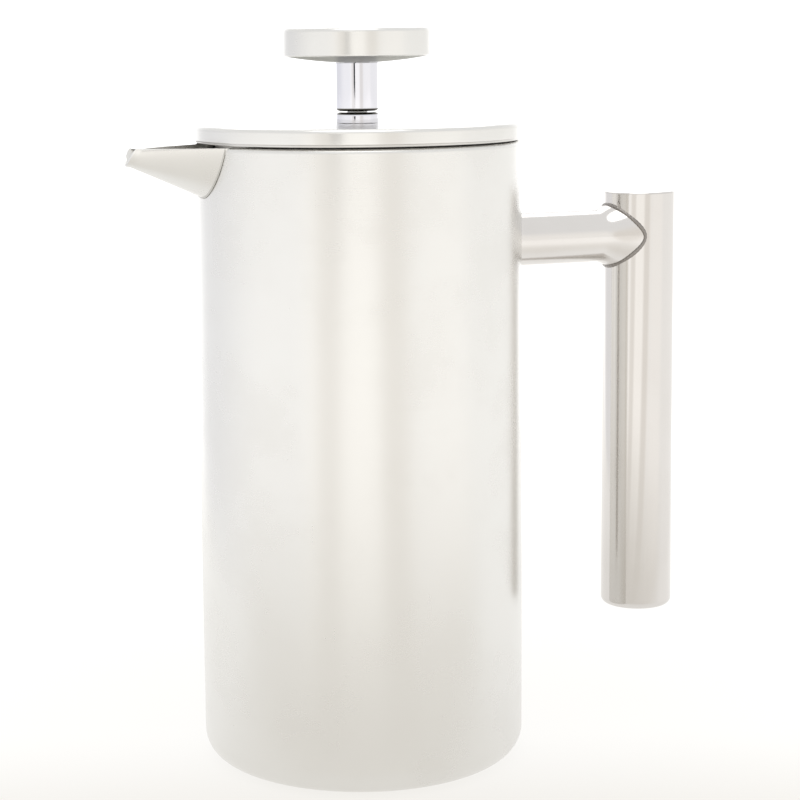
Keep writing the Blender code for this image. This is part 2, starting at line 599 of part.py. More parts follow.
def make_knob(parts, cutters):
    """The hollow knob, the sleeve under it and the nut that holds them together."""
    sleeve_radius = SLEEVE_DIAMETER / 2
    stud_radius = KNOB_STUD_DIAMETER / 2
    shoulder = SLEEVE_BOTTOM + SLEEVE_HEIGHT - SLEEVE_EDGE
    stud_top = KNOB_NUT_BOTTOM + KNOB_NUT_THICKNESS
    bore_top = ROD_TOP + SEAM
    sleeve_profile = [
        (0, stud_top), (stud_radius, stud_top), (stud_radius, shoulder),
        (sleeve_radius, shoulder),
        *arc(sleeve_radius - SLEEVE_EDGE, SLEEVE_BOTTOM + SLEEVE_EDGE, SLEEVE_EDGE, 0, -90, 4),
        (ROD_HOLE_RADIUS, SLEEVE_BOTTOM), (ROD_HOLE_RADIUS, bore_top), (0, bore_top),
    ]
    turned("knob_sleeve", sleeve_profile, CHROME, parts, steps=TUBE_STEPS)
    radius = KNOB_DIAMETER / 2
    cap_profile = [
        (0, KNOB_TOP + KNOB_CROWN), (radius / 2, KNOB_TOP + KNOB_CROWN * 0.75),
        *arc(radius - KNOB_EDGE, KNOB_TOP - KNOB_EDGE, KNOB_EDGE, 90, 0, 4),
        (radius, KNOB_BOTTOM),
    ]
    thicken(turned("knob_cap", cap_profile, POLISHED, parts, steps=KNOB_STEPS), KNOB_WALL)
    base_radius = radius - KNOB_WALL - SEAM
    stud_hole = stud_radius + SEAM
    rise = KNOB_BELLY / (base_radius**2 - sleeve_radius**2)
    belly = [
        (r, KNOB_BASE_BOTTOM + rise * max(r**2 - sleeve_radius**2, 0))
        for r in (base_radius, base_radius * 0.8, base_radius * 0.55, sleeve_radius, stud_hole)
    ]
    base_profile = [(r, z + KNOB_WALL) for r, z in belly[::-1]] + belly
    turned("knob_base", base_profile, POLISHED, parts, closed=True, steps=KNOB_STEPS)
    hex_nut(
        "knob_nut", KNOB_NUT_WIDTH, stud_hole, KNOB_NUT_BOTTOM, KNOB_NUT_BOTTOM + KNOB_NUT_THICKNESS, PLAIN,
        parts, cutters,
    )


def make_plunger(parts, cutters):
    """The rod, the filter at its foot and the knob at its head."""
    tip = 0.6 * MM
    rod_profile = [
        (0, ROD_TOP), (ROD_RADIUS - tip, ROD_TOP), (ROD_RADIUS, ROD_TOP - tip),
        (ROD_RADIUS, ROD_BOTTOM + tip), (ROD_RADIUS - tip, ROD_BOTTOM), (0, ROD_BOTTOM),
    ]
    turned("plunger_rod", rod_profile, PLAIN, parts, steps=SMALL_STEPS)
    make_filter(parts, cutters)
    make_knob(parts, cutters)


# ---- The scene --------------------------------------------------------------------------------------------
def new_collection(name):
    """A collection in the scene."""
    collection = bpy.data.collections.new(name)
    bpy.context.scene.collection.children.link(collection)
    return collection


def main():
    """Clears the scene and builds the french press."""
    for obj in list(bpy.data.objects):
        bpy.data.objects.remove(obj)
    parts = new_collection("french_press")
    cutters = new_collection("cutters")
    make_pot(parts, cutters)
    make_handle(parts, cutters)
    make_lid(parts, cutters)
    make_plunger(parts, cutters)
    bpy.context.view_layer.update()


main()
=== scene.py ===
"""Looks of a one-litre steel french press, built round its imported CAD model.

Every part is turned, lofted or cut here at a finer grain than the CAD solid it stands for, from the boxes
that the frame gives. Lengths are in metres, +Z is up, the handle points along +X and the spout along -X.
"""

from __future__ import annotations

import logging
import math
from collections.abc import Callable, Iterable, Mapping, Sequence
from dataclasses import dataclass, field
from enum import Enum
from typing import Any

import bmesh
import bpy
from mathutils import Matrix, Vector

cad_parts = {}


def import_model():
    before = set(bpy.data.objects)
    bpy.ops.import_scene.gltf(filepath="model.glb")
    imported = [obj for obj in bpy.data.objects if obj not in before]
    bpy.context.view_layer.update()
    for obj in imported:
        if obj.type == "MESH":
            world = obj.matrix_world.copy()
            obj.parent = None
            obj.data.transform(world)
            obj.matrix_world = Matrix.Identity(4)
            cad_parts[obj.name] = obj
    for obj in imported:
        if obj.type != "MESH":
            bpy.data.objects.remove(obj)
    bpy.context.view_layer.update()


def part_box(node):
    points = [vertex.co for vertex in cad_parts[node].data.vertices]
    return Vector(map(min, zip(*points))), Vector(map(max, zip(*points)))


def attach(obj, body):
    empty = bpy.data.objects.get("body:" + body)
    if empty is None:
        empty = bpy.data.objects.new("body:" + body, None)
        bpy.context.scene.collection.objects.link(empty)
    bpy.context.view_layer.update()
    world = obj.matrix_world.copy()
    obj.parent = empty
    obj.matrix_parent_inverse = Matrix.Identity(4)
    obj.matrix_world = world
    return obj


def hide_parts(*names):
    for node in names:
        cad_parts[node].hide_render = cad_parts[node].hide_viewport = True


LOG = logging.getLogger("french_press")
MM = 0.001
SEAM = 0.3 * MM
WELD = 1e-6
NEAR = 1e-5
ROUND_STEPS = 192
SMALL_STEPS = 96
SMOOTH_ANGLE = math.radians(32)

Colour = tuple[float, float, float]
Direction = tuple[float, float, float]
Place = Callable[[float, float], Vector]

# Near-black for a ring of painted shade in the gap where the chrome neck meets the bush.
GROOVE_PAINTED_SHADE: Colour = (0.09, 0.085, 0.07)


# ---- Shader graph -----------------------------------------------------------------------------------------
class Signal:
    """One output socket of a shader node, with arithmetic that adds Math nodes."""

    def __init__(self, graph: Graph, socket: bpy.types.NodeSocket) -> None:
        """Keeps the graph that the socket belongs to, and the socket.

        Args:
            graph: the graph that new nodes go into.
            socket: the output that this stands for.
        """
        self.graph = graph
        self.socket = socket

    def other(self, name: str) -> Signal:
        """Another output of the same node."""
        return Signal(self.graph, self.socket.node.outputs[name])

    def _math(self, operation: str, first: Any, second: Any) -> Signal:
        """A Math node of two values or signals."""
        return self.graph.node("ShaderNodeMath", {"operation": operation}, {0: first, 1: second})

    def __add__(self, other: Any) -> Signal:
        """This plus other."""
        return self._math("ADD", self, other)

    def __radd__(self, other: Any) -> Signal:
        """Other plus this."""
        return self._math("ADD", other, self)

    def __sub__(self, other: Any) -> Signal:
        """This less other."""
        return self._math("SUBTRACT", self, other)

    def __rsub__(self, other: Any) -> Signal:
        """Other less this."""
        return self._math("SUBTRACT", other, self)

    def __mul__(self, other: Any) -> Signal:
        """This times other."""
        return self._math("MULTIPLY", self, other)

    def __rmul__(self, other: Any) -> Signal:
        """Other times this."""
        return self._math("MULTIPLY", other, self)


class Graph:
    """The node tree of one material or of the world."""

    def __init__(self, tree: bpy.types.NodeTree) -> None:
        """Takes the tree and empties it.

        Args:
            tree: the node tree to fill.
        """
        self.tree = tree
        tree.nodes.clear()

    def node(
        self, kind: str, settings: Mapping[str, Any] | None = None, sockets: Mapping[Any, Any] | None = None
    ) -> Signal:
        """Adds a node.

        Args:
            kind: the node's type name.
            settings: its properties, set first.
            sockets: values or signals for its inputs, by index, name or identifier.

        Returns:
            The node's first enabled output, or its first input where it has none.
        """
        node = self.tree.nodes.new(kind)
        for name, value in (settings or {}).items():
            setattr(node, name, value)
        for key, value in (sockets or {}).items():
            target = node.inputs[key] if isinstance(key, int) else self._input(node, key)
            if isinstance(value, Signal):
                self.tree.links.new(value.socket, target)
            else:
                target.default_value = value
        outputs = [socket for socket in node.outputs if socket.enabled]
        return Signal(self, outputs[0] if outputs else node.inputs[0])

    @staticmethod
    def _input(node: bpy.types.Node, key: str) -> bpy.types.NodeSocket:
        """Finds an enabled input.

        Args:
            node: the node.
            key: the input's name or identifier.

        Returns:
            The input.
        """
        for socket in node.inputs:
            if socket.enabled and key in (socket.name, socket.identifier):
                return socket
        raise KeyError(f"{node.bl_idname} has no input {key}")

    def between(self, value: Signal, low: float, high: float) -> Signal:
        """A smooth step of a value.

        Args:
            value: the signal to step.
            low: where the step starts, which may be the greater of the two.
            high: where the step ends.

        Returns:
            0 at low, 1 at high.
        """
        return self.node(
            "ShaderNodeMapRange", {"interpolation_type": "SMOOTHSTEP"},
            {"Value": value, "From Min": low, "From Max": high},
        )

    def mix(self, share: Any, first: Any, second: Any) -> Signal:
        """A colour between two colours.

        Args:
            share: how much of the second there is, from 0 to 1.
            first: a colour or a signal.
            second: a colour or a signal.

        Returns:
            The mixed colour.
        """
        return self.node(
            "ShaderNodeMix", {"data_type": "RGBA"},
            {"Factor_Float": share, "A_Color": _rgba(first), "B_Color": _rgba(second)},
        )

    def vector(self, operation: str, first: Any, second: Any) -> Signal:
        """A Vector Math node of two vectors."""
        return self.node("ShaderNodeVectorMath", {"operation": operation}, {0: first, 1: second})

    def size(self, value: Signal) -> Signal:
        """A value without its sign."""
        return self.node("ShaderNodeMath", {"operation": "ABSOLUTE"}, {0: value})

    def length(self, where: Signal) -> Signal:
        """A vector's length."""
        return self.node("ShaderNodeVectorMath", {"operation": "LENGTH"}, {0: where}).other("Value")

    def along(self, where: Signal, way: Direction) -> Signal:
        """How far a vector runs along a direction."""
        found = self.node("ShaderNodeVectorMath", {"operation": "DOT_PRODUCT"}, {0: where, 1: way})
        return found.other("Value")

    def place(self) -> Signal:
        """Where the surface is, in the piece's own coordinates."""
        return self.node("ShaderNodeTexCoord").other("Object")

    def axes(self, where: Signal) -> Signal:
        """A place's X, whose node has Y and Z as its other outputs."""
        return self.node("ShaderNodeSeparateXYZ", {}, {"Vector": where})

    def surface(
        self, colour: Signal, roughness: Signal, relief: Signal, tilt: float, rise: float,
        metallic: float = 1.0,
    ) -> None:
        """Ends a material with its shader, which has a fine relief.

        Args:
            colour: the base colour.
            roughness: the roughness.
            relief: the relief's height, from 0 to 1.
            tilt: how strongly the relief tilts the surface.
            rise: the relief's full height.
            metallic: 1 for a metal, 0 for anything else.
        """
        normal = self.node("ShaderNodeBump", {}, {"Strength": tilt, "Distance": rise, "Height": relief})
        shader = self.node(
            "ShaderNodeBsdfPrincipled", {},
            {"Base Color": colour, "Metallic": metallic, "Roughness": roughness, "Normal": normal},
        )
        self.node("ShaderNodeOutputMaterial", {}, {"Surface": shader})

    def noise(self, where: Signal, scale: float, detail: float = 2.0, rough: float = 0.5) -> Signal:
        """Noise from 0 to 1.

        Args:
            where: the place.
            scale: features to a metre.
            detail: how many finer layers are added.
            rough: how strong the finer layers are.

        Returns:
            The noise.
        """
        return self.node(
            "ShaderNodeTexNoise", {}, {"Vector": where, "Scale": scale, "Detail": detail, "Roughness": rough}
        )


def _rgba(value: Any) -> Any:
    """A colour with its alpha, or a signal as it is."""
    return value if isinstance(value, Signal) else (*value, 1.0)


# ---- Finishes ---------------------------------------------------------------------------------------------
class Grain(Enum):
    """Which way a metal's polishing lines run."""

    ROUND = "round the Z axis"
    UPRIGHT = "along Z"
    LEVEL = "along X"


@dataclass(frozen=True)
class Finish:
    """What a piece is made of: the material's name, and the name of a slot that is kept but not used."""

    name: str
    slot: str

    def material(self) -> bpy.types.Material:
        """The finish as a material, made once.

        Returns:
            The material.
        """
        made = bpy.data.materials.get(self.name)
        if made is None:
            made = bpy.data.materials.new(self.name)
            made.use_nodes = True
            self._dress(Graph(made.node_tree))
        return made

    def _dress(self, graph: Graph) -> None:
        """Fills the material's tree."""
        raise NotImplementedError


@dataclass(frozen=True)
class Steel(Finish):
    """A steel or chrome finish, with polishing lines, handling marks and stray scratches.

    Roughness wanders by about its spread. The lines run along grain, pitch of them to a metre, and depth is
    how strongly they tilt the surface. Groove is the height and the half width of a ring of painted shade.
    """

    colour: Colour
    dull: Colour
    roughness: float
    spread: float
    grain: Grain = Grain.ROUND
    pitch: float = 2500.0
    depth: float = 0.12
    scratches: float = 0.3
    groove: tuple[float, float] | None = None

    def _lines(self, graph: Graph, where: Signal) -> Signal:
        """Fine polishing lines along the grain.

        Args:
            graph: the material's tree.
            where: the place on the piece.

        Returns:
            The lines' height, from 0 to 1.
        """
        if self.grain is Grain.ROUND:
            axes = graph.axes(where)
            radius = graph.length(graph.vector("MULTIPLY", where, (1.0, 1.0, 0.0)))
            drift = graph.noise(where, 24.0) * (1.6 / self.pitch)
            across = graph.node(
                "ShaderNodeCombineXYZ", {}, {"X": radius + drift, "Y": axes.other("Z") + drift, "Z": 0.0}
            )
            return graph.noise(across, self.pitch, 3.0, 0.65)
        stretch = (0.008, 1.0, 1.0) if self.grain is Grain.LEVEL else (1.0, 1.0, 0.008)
        return graph.noise(graph.vector("MULTIPLY", where, stretch), self.pitch, 3.0, 0.65)

    def _scratches(self, graph: Graph, where: Signal) -> Signal:
        """A few long hairline scratches in two directions.

        Args:
            graph: the material's tree.
            where: the place on the piece.

        Returns:
            1 on a scratch, 0 off it.
        """
        found = None
        for turn, stretch in ((0.5, (900.0, 14.0, 14.0)), (-0.9, (14.0, 14.0, 1100.0))):
            tilted = (turn, turn / 2, turn)
            laid = graph.node(
                "ShaderNodeMapping", {}, {"Vector": where, "Rotation": tilted, "Scale": stretch}
            )
            line = graph.between(graph.noise(laid, 1.0, 1.0), 0.70, 0.76)
            found = line if found is None else found + line
        return found

    def _dress(self, graph: Graph) -> None:
        """Lays the lines, smudges and scratches over the metal.

        Args:
            graph: the material's tree.
        """
        where = graph.place()
        lines = self._lines(graph, where)
        smudge = graph.between(graph.noise(where, 34.0, 4.0, 0.6), 0.42, 0.72)
        cloud = graph.noise(where, 95.0, 3.0, 0.55)
        marks = self._scratches(graph, where) * self.scratches
        dullness = smudge * 0.45 + cloud * 0.25 + lines * 0.3 + marks * 0.35
        colour = graph.mix(dullness, self.colour, self.dull)
        # Painted shade: the colour turns near-black in a ring at the groove's height, where the gap lies in
        # shade.
        if self.groove:
            middle, half = self.groove
            away = graph.size(graph.axes(where).other("Z") - middle)
            colour = graph.mix(graph.between(away, half, 0.8 * half), colour, GROOVE_PAINTED_SHADE)
        roughness = (
            self.roughness + (smudge - 0.4) * self.spread + (lines - 0.5) * (self.spread * 0.8)
            + marks * (self.spread * 1.2)
        )
        relief = lines * 0.7 + cloud * 0.15 - marks * 0.4
        graph.surface(colour, roughness, relief, self.depth, 0.02 * MM)


@dataclass(frozen=True)
class Weave(Finish):
    """Fine woven wire: over-and-under wires on a thin disc."""

    name: str = "woven_wire"
    slot: str = "woven_steel"
    pitch: float = 5200.0

    def _dress(self, graph: Graph) -> None:
        """Crosses two sets of wires over dark gaps.

        Args:
            graph: the material's tree.
        """
        place = graph.place()
        axes = graph.axes(place)
        warp, weft = self._wires(graph, axes), self._wires(graph, axes.other("Y"))
        wires = graph.node("ShaderNodeMath", {"operation": "MAXIMUM"}, {0: warp, 1: weft})
        stain = graph.between(graph.noise(place, 60.0, 4.0), 0.4, 0.7)
        steel = graph.mix(stain * 0.5, (0.62, 0.61, 0.60), (0.42, 0.39, 0.36))
        colour = graph.mix(wires, (0.03, 0.03, 0.03), steel)
        graph.surface(colour, 0.42 - wires * 0.1, wires, 0.6, 0.1 * MM)

    def _wires(self, graph: Graph, across: Signal) -> Signal:
        """Round wires side by side across one axis."""
        wave = graph.node("ShaderNodeMath", {"operation": "SINE"}, {0: across * self.pitch})
        return graph.between(wave, -0.5, 0.6)


@dataclass(frozen=True)
class Rubber(Finish):
    """Soft dark silicone with a dusty bloom."""

    name: str = "silicone_dark"
    slot: str = "silicone"

    def _dress(self, graph: Graph) -> None:
        """Clouds the silicone's colour and roughness.

        Args:
            graph: the material's tree.
        """
        bloom = graph.noise(graph.place(), 400.0, 3.0)
        colour = graph.mix(bloom, (0.02, 0.02, 0.02), (0.05, 0.05, 0.05))
        graph.surface(colour, 0.5 + bloom * 0.2, bloom, 0.2, 0.05 * MM, metallic=0.0)


WARM_STEEL: Colour = (0.79, 0.785, 0.765)
WARM_DULL: Colour = (0.745, 0.735, 0.71)
BODY_STEEL = Steel(
    "body_steel", "polished_steel", WARM_STEEL, WARM_DULL, 0.27, 0.05, depth=0.10, scratches=0.15
)
LID_STEEL = Steel(
    "lid_steel", "polished_steel", WARM_STEEL, WARM_DULL, 0.20, 0.06, pitch=2100.0, depth=0.16
)
KNOB_STEEL = Steel(
    "knob_steel", "polished_steel", WARM_STEEL, WARM_DULL, 0.24, 0.06, pitch=2600.0, depth=0.2
)
# Painted shade: a dark copy of the polished steel for the knob's underside, which lies in shade under the
# knob.
UNDER_STEEL_PAINTED_SHADE = Steel(
    "under_steel_painted_shade", "polished_steel", (0.26, 0.255, 0.22), (0.20, 0.195, 0.165), 0.42, 0.10, depth=0.3
)
ARM_STEEL = Steel(
    "arm_steel", "polished_steel", (0.75, 0.73, 0.71), (0.71, 0.685, 0.66), 0.14, 0.05, grain=Grain.LEVEL,
    pitch=1500.0, depth=0.06, scratches=0.2,
)
# Painted shade: the grip's polished steel is darker than the body's, standing in for the duller light that
# the mirror-bright grip picks up.
GRIP_STEEL_SHADED = Steel(
    "grip_steel_shaded", "polished_steel", (0.70, 0.68, 0.66), (0.66, 0.635, 0.61), 0.07, 0.04, grain=Grain.UPRIGHT,
    pitch=1500.0, depth=0.06, scratches=0.2,
)
WELD_STEEL = Steel(
    "weld_steel", "polished_steel", (0.34, 0.32, 0.30), (0.20, 0.18, 0.17), 0.26, 0.10, depth=0.4
)
SEAM_STEEL = Steel(
    "seam_steel", "polished_steel", (0.62, 0.61, 0.58), (0.50, 0.49, 0.46), 0.30, 0.08, depth=0.3
)
LINER_STEEL = Steel(
    "liner_steel", "satin_steel", (0.72, 0.71, 0.69), (0.63, 0.615, 0.59), 0.32, 0.08, pitch=1800.0, depth=0.3
)
PLAIN_STEEL = Steel(
    "plain_steel", "plain_steel", (0.60, 0.60, 0.60), (0.50, 0.49, 0.47), 0.26, 0.08, depth=0.25
)
CHROME = Steel(
    "chrome", "bright_chrome", (0.80, 0.80, 0.85), (0.75, 0.75, 0.79), 0.06, 0.03, depth=0.04,
    # The groove ring paints shade into the gap between the neck and the bush.
    groove=(200.55 * MM, 1.0 * MM),
)
WEAVE = Weave()
RUBBER = Rubber()


# ---- Making pieces ----------------------------------------------------------------------------------------
@dataclass(frozen=True)
class Corner:
    """One corner of an outline that is turned about Z, and how far it is rounded."""

    r: float
    z: float
    soften: float = 0.0


def spun(corners: Sequence[Corner], ring: bool, steps: int, segments: int) -> bmesh.types.BMesh:
    """Spins an outline about Z into a closed body, then rounds the corners that ask for it.

    Args:
        corners: the outline's corners, in order.
        ring: True for a closed outline that stays off the axis, False for one that starts and ends on it.
        steps: the number of steps round the axis.
        segments: the number of strips in a rounded corner.

    Returns:
        The body, with its faces pointing out.
    """
    work = bmesh.new()
    points = [work.verts.new((corner.r, 0.0, corner.z)) for corner in corners]
    pairs = list(zip(points, points[1:])) + ([(points[-1], points[0])] if ring else [])
    edges = [work.edges.new(pair) for pair in pairs]
    bmesh.ops.spin(
        work, geom=points + edges, cent=(0, 0, 0), axis=(0, 0, 1), dvec=(0, 0, 0), angle=math.tau,
        steps=steps, use_merge=True, use_normal_flip=False, use_duplicate=False,
    )
    bmesh.ops.remove_doubles(work, verts=work.verts, dist=WELD)
    for corner in corners:
        if corner.soften > 0:
            round_off(work, corner, segments)
    bmesh.ops.recalc_face_normals(work, faces=work.faces)
    return work


def round_off(work: bmesh.types.BMesh, corner: Corner, segments: int) -> None:
    """Bevels the circle that a corner made.

    Args:
        work: the spun body.
        corner: the corner.
        segments: the number of strips.
    """
    def on_corner(vert: bmesh.types.BMVert) -> bool:
        """Whether the vertex lies on the corner's circle."""
        return abs(vert.co.xy.length - corner.r) < NEAR and abs(vert.co.z - corner.z) < NEAR

    circle = [edge for edge in work.edges if on_corner(edge.verts[0]) and on_corner(edge.verts[1])]
    bmesh.ops.bevel(
        work, geom=circle, offset=corner.soften, offset_type="OFFSET", affect="EDGES", segments=segments,
        profile=0.5, material=-1, clamp_overlap=False,
    )


def loft(along: int, around: int, place: Place) -> bmesh.types.BMesh:
    """A grid laid over a surface, joined where its edges meet.

    Args:
        along: strips in the first direction.
        around: strips in the second direction.
        place: the surface's point for two shares from 0 to 1.

    Returns:
        The surface, with its faces pointing out.
    """
    work = bmesh.new()
    bmesh.ops.create_grid(work, x_segments=along, y_segments=around, size=1.0)
    for vert in work.verts:
        vert.co = place((vert.co.x + 1) / 2, (vert.co.y + 1) / 2)
    bmesh.ops.remove_doubles(work, verts=work.verts, dist=WELD)
    bmesh.ops.recalc_face_normals(work, faces=work.faces)
    return work


def wire(
    path: Callable[[float], Vector], radius: Callable[[float], float], along: int, around: int
) -> bmesh.types.BMesh:
    """A round wire swept along a path whose side directions never run along Z for long.

    Args:
        path: the centre line's point for a share from 0 to 1.
        radius: the wire's radius there.
        along: strips along the path.
        around: strips round the wire.

    Returns:
        The wire's surface.
    """
    step = 0.25 / along

    def place(share: float, turn: float) -> Vector:
        """A point of the wire's surface.

        Args:
            share: the share of the path.
            turn: the share of the way round the wire.

        Returns:
            The point.
        """
        ahead = (path(share + step) - path(share - step)).normalized()
        side = ahead.cross(Vector((0.3, 0.1, 1.0))).normalized()
        up = side.cross(ahead)
        angle = math.tau * turn
        return path(share) + radius(share) * (side * math.cos(angle) + up * math.sin(angle))

    return loft(along, around, place)


def coil_wire(
    path: Callable[[float], Vector], radius: float, along: int, around: int
) -> bmesh.types.BMesh:
    """A round wire along a closed path that winds tightly.

    Args:
        path: the centre line's point for a share from 0 to 1.
        radius: the wire's radius.
        along: strips along the path.
        around: strips round the wire.

    Returns:
        The wire's surface.
    """
    def place(share: float, turn: float) -> Vector:
        """A point of the wire's surface, framed by the direction away from the Z axis.

        Args:
            share: the share of the path.
            turn: the share of the way round the wire.

        Returns:
            The point.
        """
        here = path(share)
        ahead = (path(share + NEAR) - path(share - NEAR)).normalized()
        outward = Vector((here.x, here.y, 0.0)).normalized()
        side = ahead.cross(outward).normalized() if abs(ahead.dot(outward)) < 0.99 else Vector((0, 0, 1))
        up = side.cross(ahead)
        angle = math.tau * turn
        return here + radius * (side * math.cos(angle) + up * math.sin(angle))

    return loft(along, around, place)


def polar(radius: float, angle: float, height: float = 0.0) -> Vector:
    """A point at a radius and an angle about Z."""
    return Vector((radius * math.cos(angle), radius * math.sin(angle), height))


def flat_ring(node: str, hole: float, soften: float) -> list[Corner]:
    """The outline of a flat ring in a CAD node's place.

    Args:
        node: the node's name.
        hole: the radius of the ring's hole.
        soften: how far its outer edges are rounded.

    Returns:
        The outline's corners.
    """
    low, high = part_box(node)
    return [
        Corner(high.x, low.z, soften), Corner(high.x, high.z, soften), Corner(hole, high.z),
        Corner(hole, low.z),
    ]


def tube_cutter(name: str, radius: float, low: float, high: float, centre: Vector) -> bpy.types.Object:
    """A solid cylinder that is used to cut a hole and is then thrown away.

    Args:
        name: its name while it lasts.
        radius: its radius.
        low: its foot's height.
        high: its top's height.
        centre: where its axis stands.

    Returns:
        The cylinder.
    """
    work = bmesh.new()
    bmesh.ops.create_cone(
        work, cap_ends=True, segments=SMALL_STEPS, radius1=radius, radius2=radius, depth=high - low
    )
    bmesh.ops.translate(work, vec=centre + Vector((0, 0, (low + high) / 2)), verts=work.verts)
    return as_object(name, work)


def as_object(name: str, work: bmesh.types.BMesh) -> bpy.types.Object:
    """An object at the origin with this mesh.

    Args:
        name: its name.
        work: its mesh, which is freed.

    Returns:
        The object, in the scene.
    """
    mesh = bpy.data.meshes.new(name)
    work.to_mesh(mesh)
    work.free()
    made = bpy.data.objects.new(name, mesh)
    bpy.context.scene.collection.objects.link(made)
    return made


def thicken(obj: bpy.types.Object, wall: float, even: bool) -> None:
    """Gives a skin a wall on its inner side, as a modifier.

    Args:
        obj: the skin.
        wall: the wall's thickness.
        even: True to keep the thickness at bends.
    """
    made = obj.modifiers.new("wall", "SOLIDIFY")
    made.thickness = wall
    made.offset = -1.0
    made.use_even_offset = even


def settle(obj: bpy.types.Object) -> None:
    """Makes the object's modifiers part of its mesh.

    Args:
        obj: the object.
    """
    depsgraph = bpy.context.evaluated_depsgraph_get()
    mesh = bpy.data.meshes.new_from_object(obj.evaluated_get(depsgraph))
    obj.modifiers.clear()
    obj.data = mesh


def carve(obj: bpy.types.Object, *cutters: bpy.types.Object) -> bpy.types.Object:
    """Cuts the cutters out of the object, and removes them.

    Args:
        obj: the object to cut.
        cutters: closed solids in place.

    Returns:
        The object.
    """
    for cutter in cutters:
        cut = obj.modifiers.new("cut", "BOOLEAN")
        cut.operation = "DIFFERENCE"
        cut.solver = "EXACT"
        cut.object = cutter
    settle(obj)
    for cutter in cutters:
        bpy.data.objects.remove(cutter)
    return obj


@dataclass
class Assembly:
    """A group of pieces that ride on one body of the frame."""

    body: str = ""
    made: list[str] = field(default_factory=list)

    def add(self, obj: bpy.types.Object, finish: Finish, *nodes: str, soften: float = 0.0) -> None:
        """Finishes a piece and fixes it to the body.

        Args:
            obj: the piece, in place.
            finish: what it is made of.
            nodes: the CAD nodes that it stands for.
            soften: the width of a small bevel along its sharp edges.
        """
        if soften:
            bevel = obj.modifiers.new("edges", "BEVEL")
            bevel.width = soften
            bevel.segments = 2
            bevel.limit_method = "ANGLE"
            bevel.angle_limit = SMOOTH_ANGLE
            settle(obj)
        obj.data.materials.clear()
        obj.data.materials.append(finish.material())
        obj.data.shade_smooth()
        obj.data.set_sharp_from_angle(angle=SMOOTH_ANGLE)
        even = obj.modifiers.new("even normals", "WEIGHTED_NORMAL")
        even.keep_sharp = True
        even.weight = 80
        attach(obj, self.body)
        if nodes:
            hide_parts(*nodes)
        self.made.append(obj.name)
        LOG.info("%s rides on %s with %d faces", obj.name, self.body, len(obj.data.polygons))

    def turned(
        self, name: str, finish: Finish, node: str, corners: Sequence[Corner], *cutters: bpy.types.Object,
        ring: bool = True, steps: int = ROUND_STEPS, segments: int = 8, x: float = 0.0,
    ) -> None:
        """Makes a turned piece and adds it.

        Args:
            name: the piece's name.
            finish: what it is made of.
            node: the CAD node that it stands for.
            corners: its outline's corners, in order.
            cutters: closed solids to cut out of it.
            ring: True for a closed outline that stays off the axis.
            steps: the number of steps round the axis.
            segments: the number of strips in a rounded corner.
            x: where its axis stands.
        """
        work = spun(corners, ring, steps, segments)
        bmesh.ops.translate(work, vec=(x, 0, 0), verts=work.verts)
        made = as_object(name, work)
        self.add(carve(made, *cutters) if cutters else made, finish, node)

    def nut(self, name: str, node: str, bore: float, soften: float) -> None:
        """Makes a hexagon nut in a CAD node's place and adds it.

        Args:
            name: the piece's name.
            node: the CAD node that it stands for.
            bore: the radius of its hole.
            soften: the width of the bevel along its edges.
        """
        low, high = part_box(node)
        corner = max(high.x, high.y)
        work = bmesh.new()
        bmesh.ops.create_cone(
            work, cap_ends=True, segments=6, radius1=corner, radius2=corner, depth=high.z - low.z
        )
        bmesh.ops.rotate(
            work, cent=(0, 0, 0), matrix=Matrix.Rotation(math.radians(30), 3, "Z"), verts=work.verts
        )
        bmesh.ops.translate(work, vec=(0, 0, (low.z + high.z) / 2), verts=work.verts)
        made = as_object(name, work)
        if made.dimensions.x > (high.x - low.x) + NEAR:
            made.data.transform(Matrix.Rotation(math.radians(30), 4, "Z"))
        carve(made, tube_cutter("bore", bore, low.z - corner, high.z + corner, Vector()))
        self.add(made, PLAIN_STEEL, node, soften=soften)


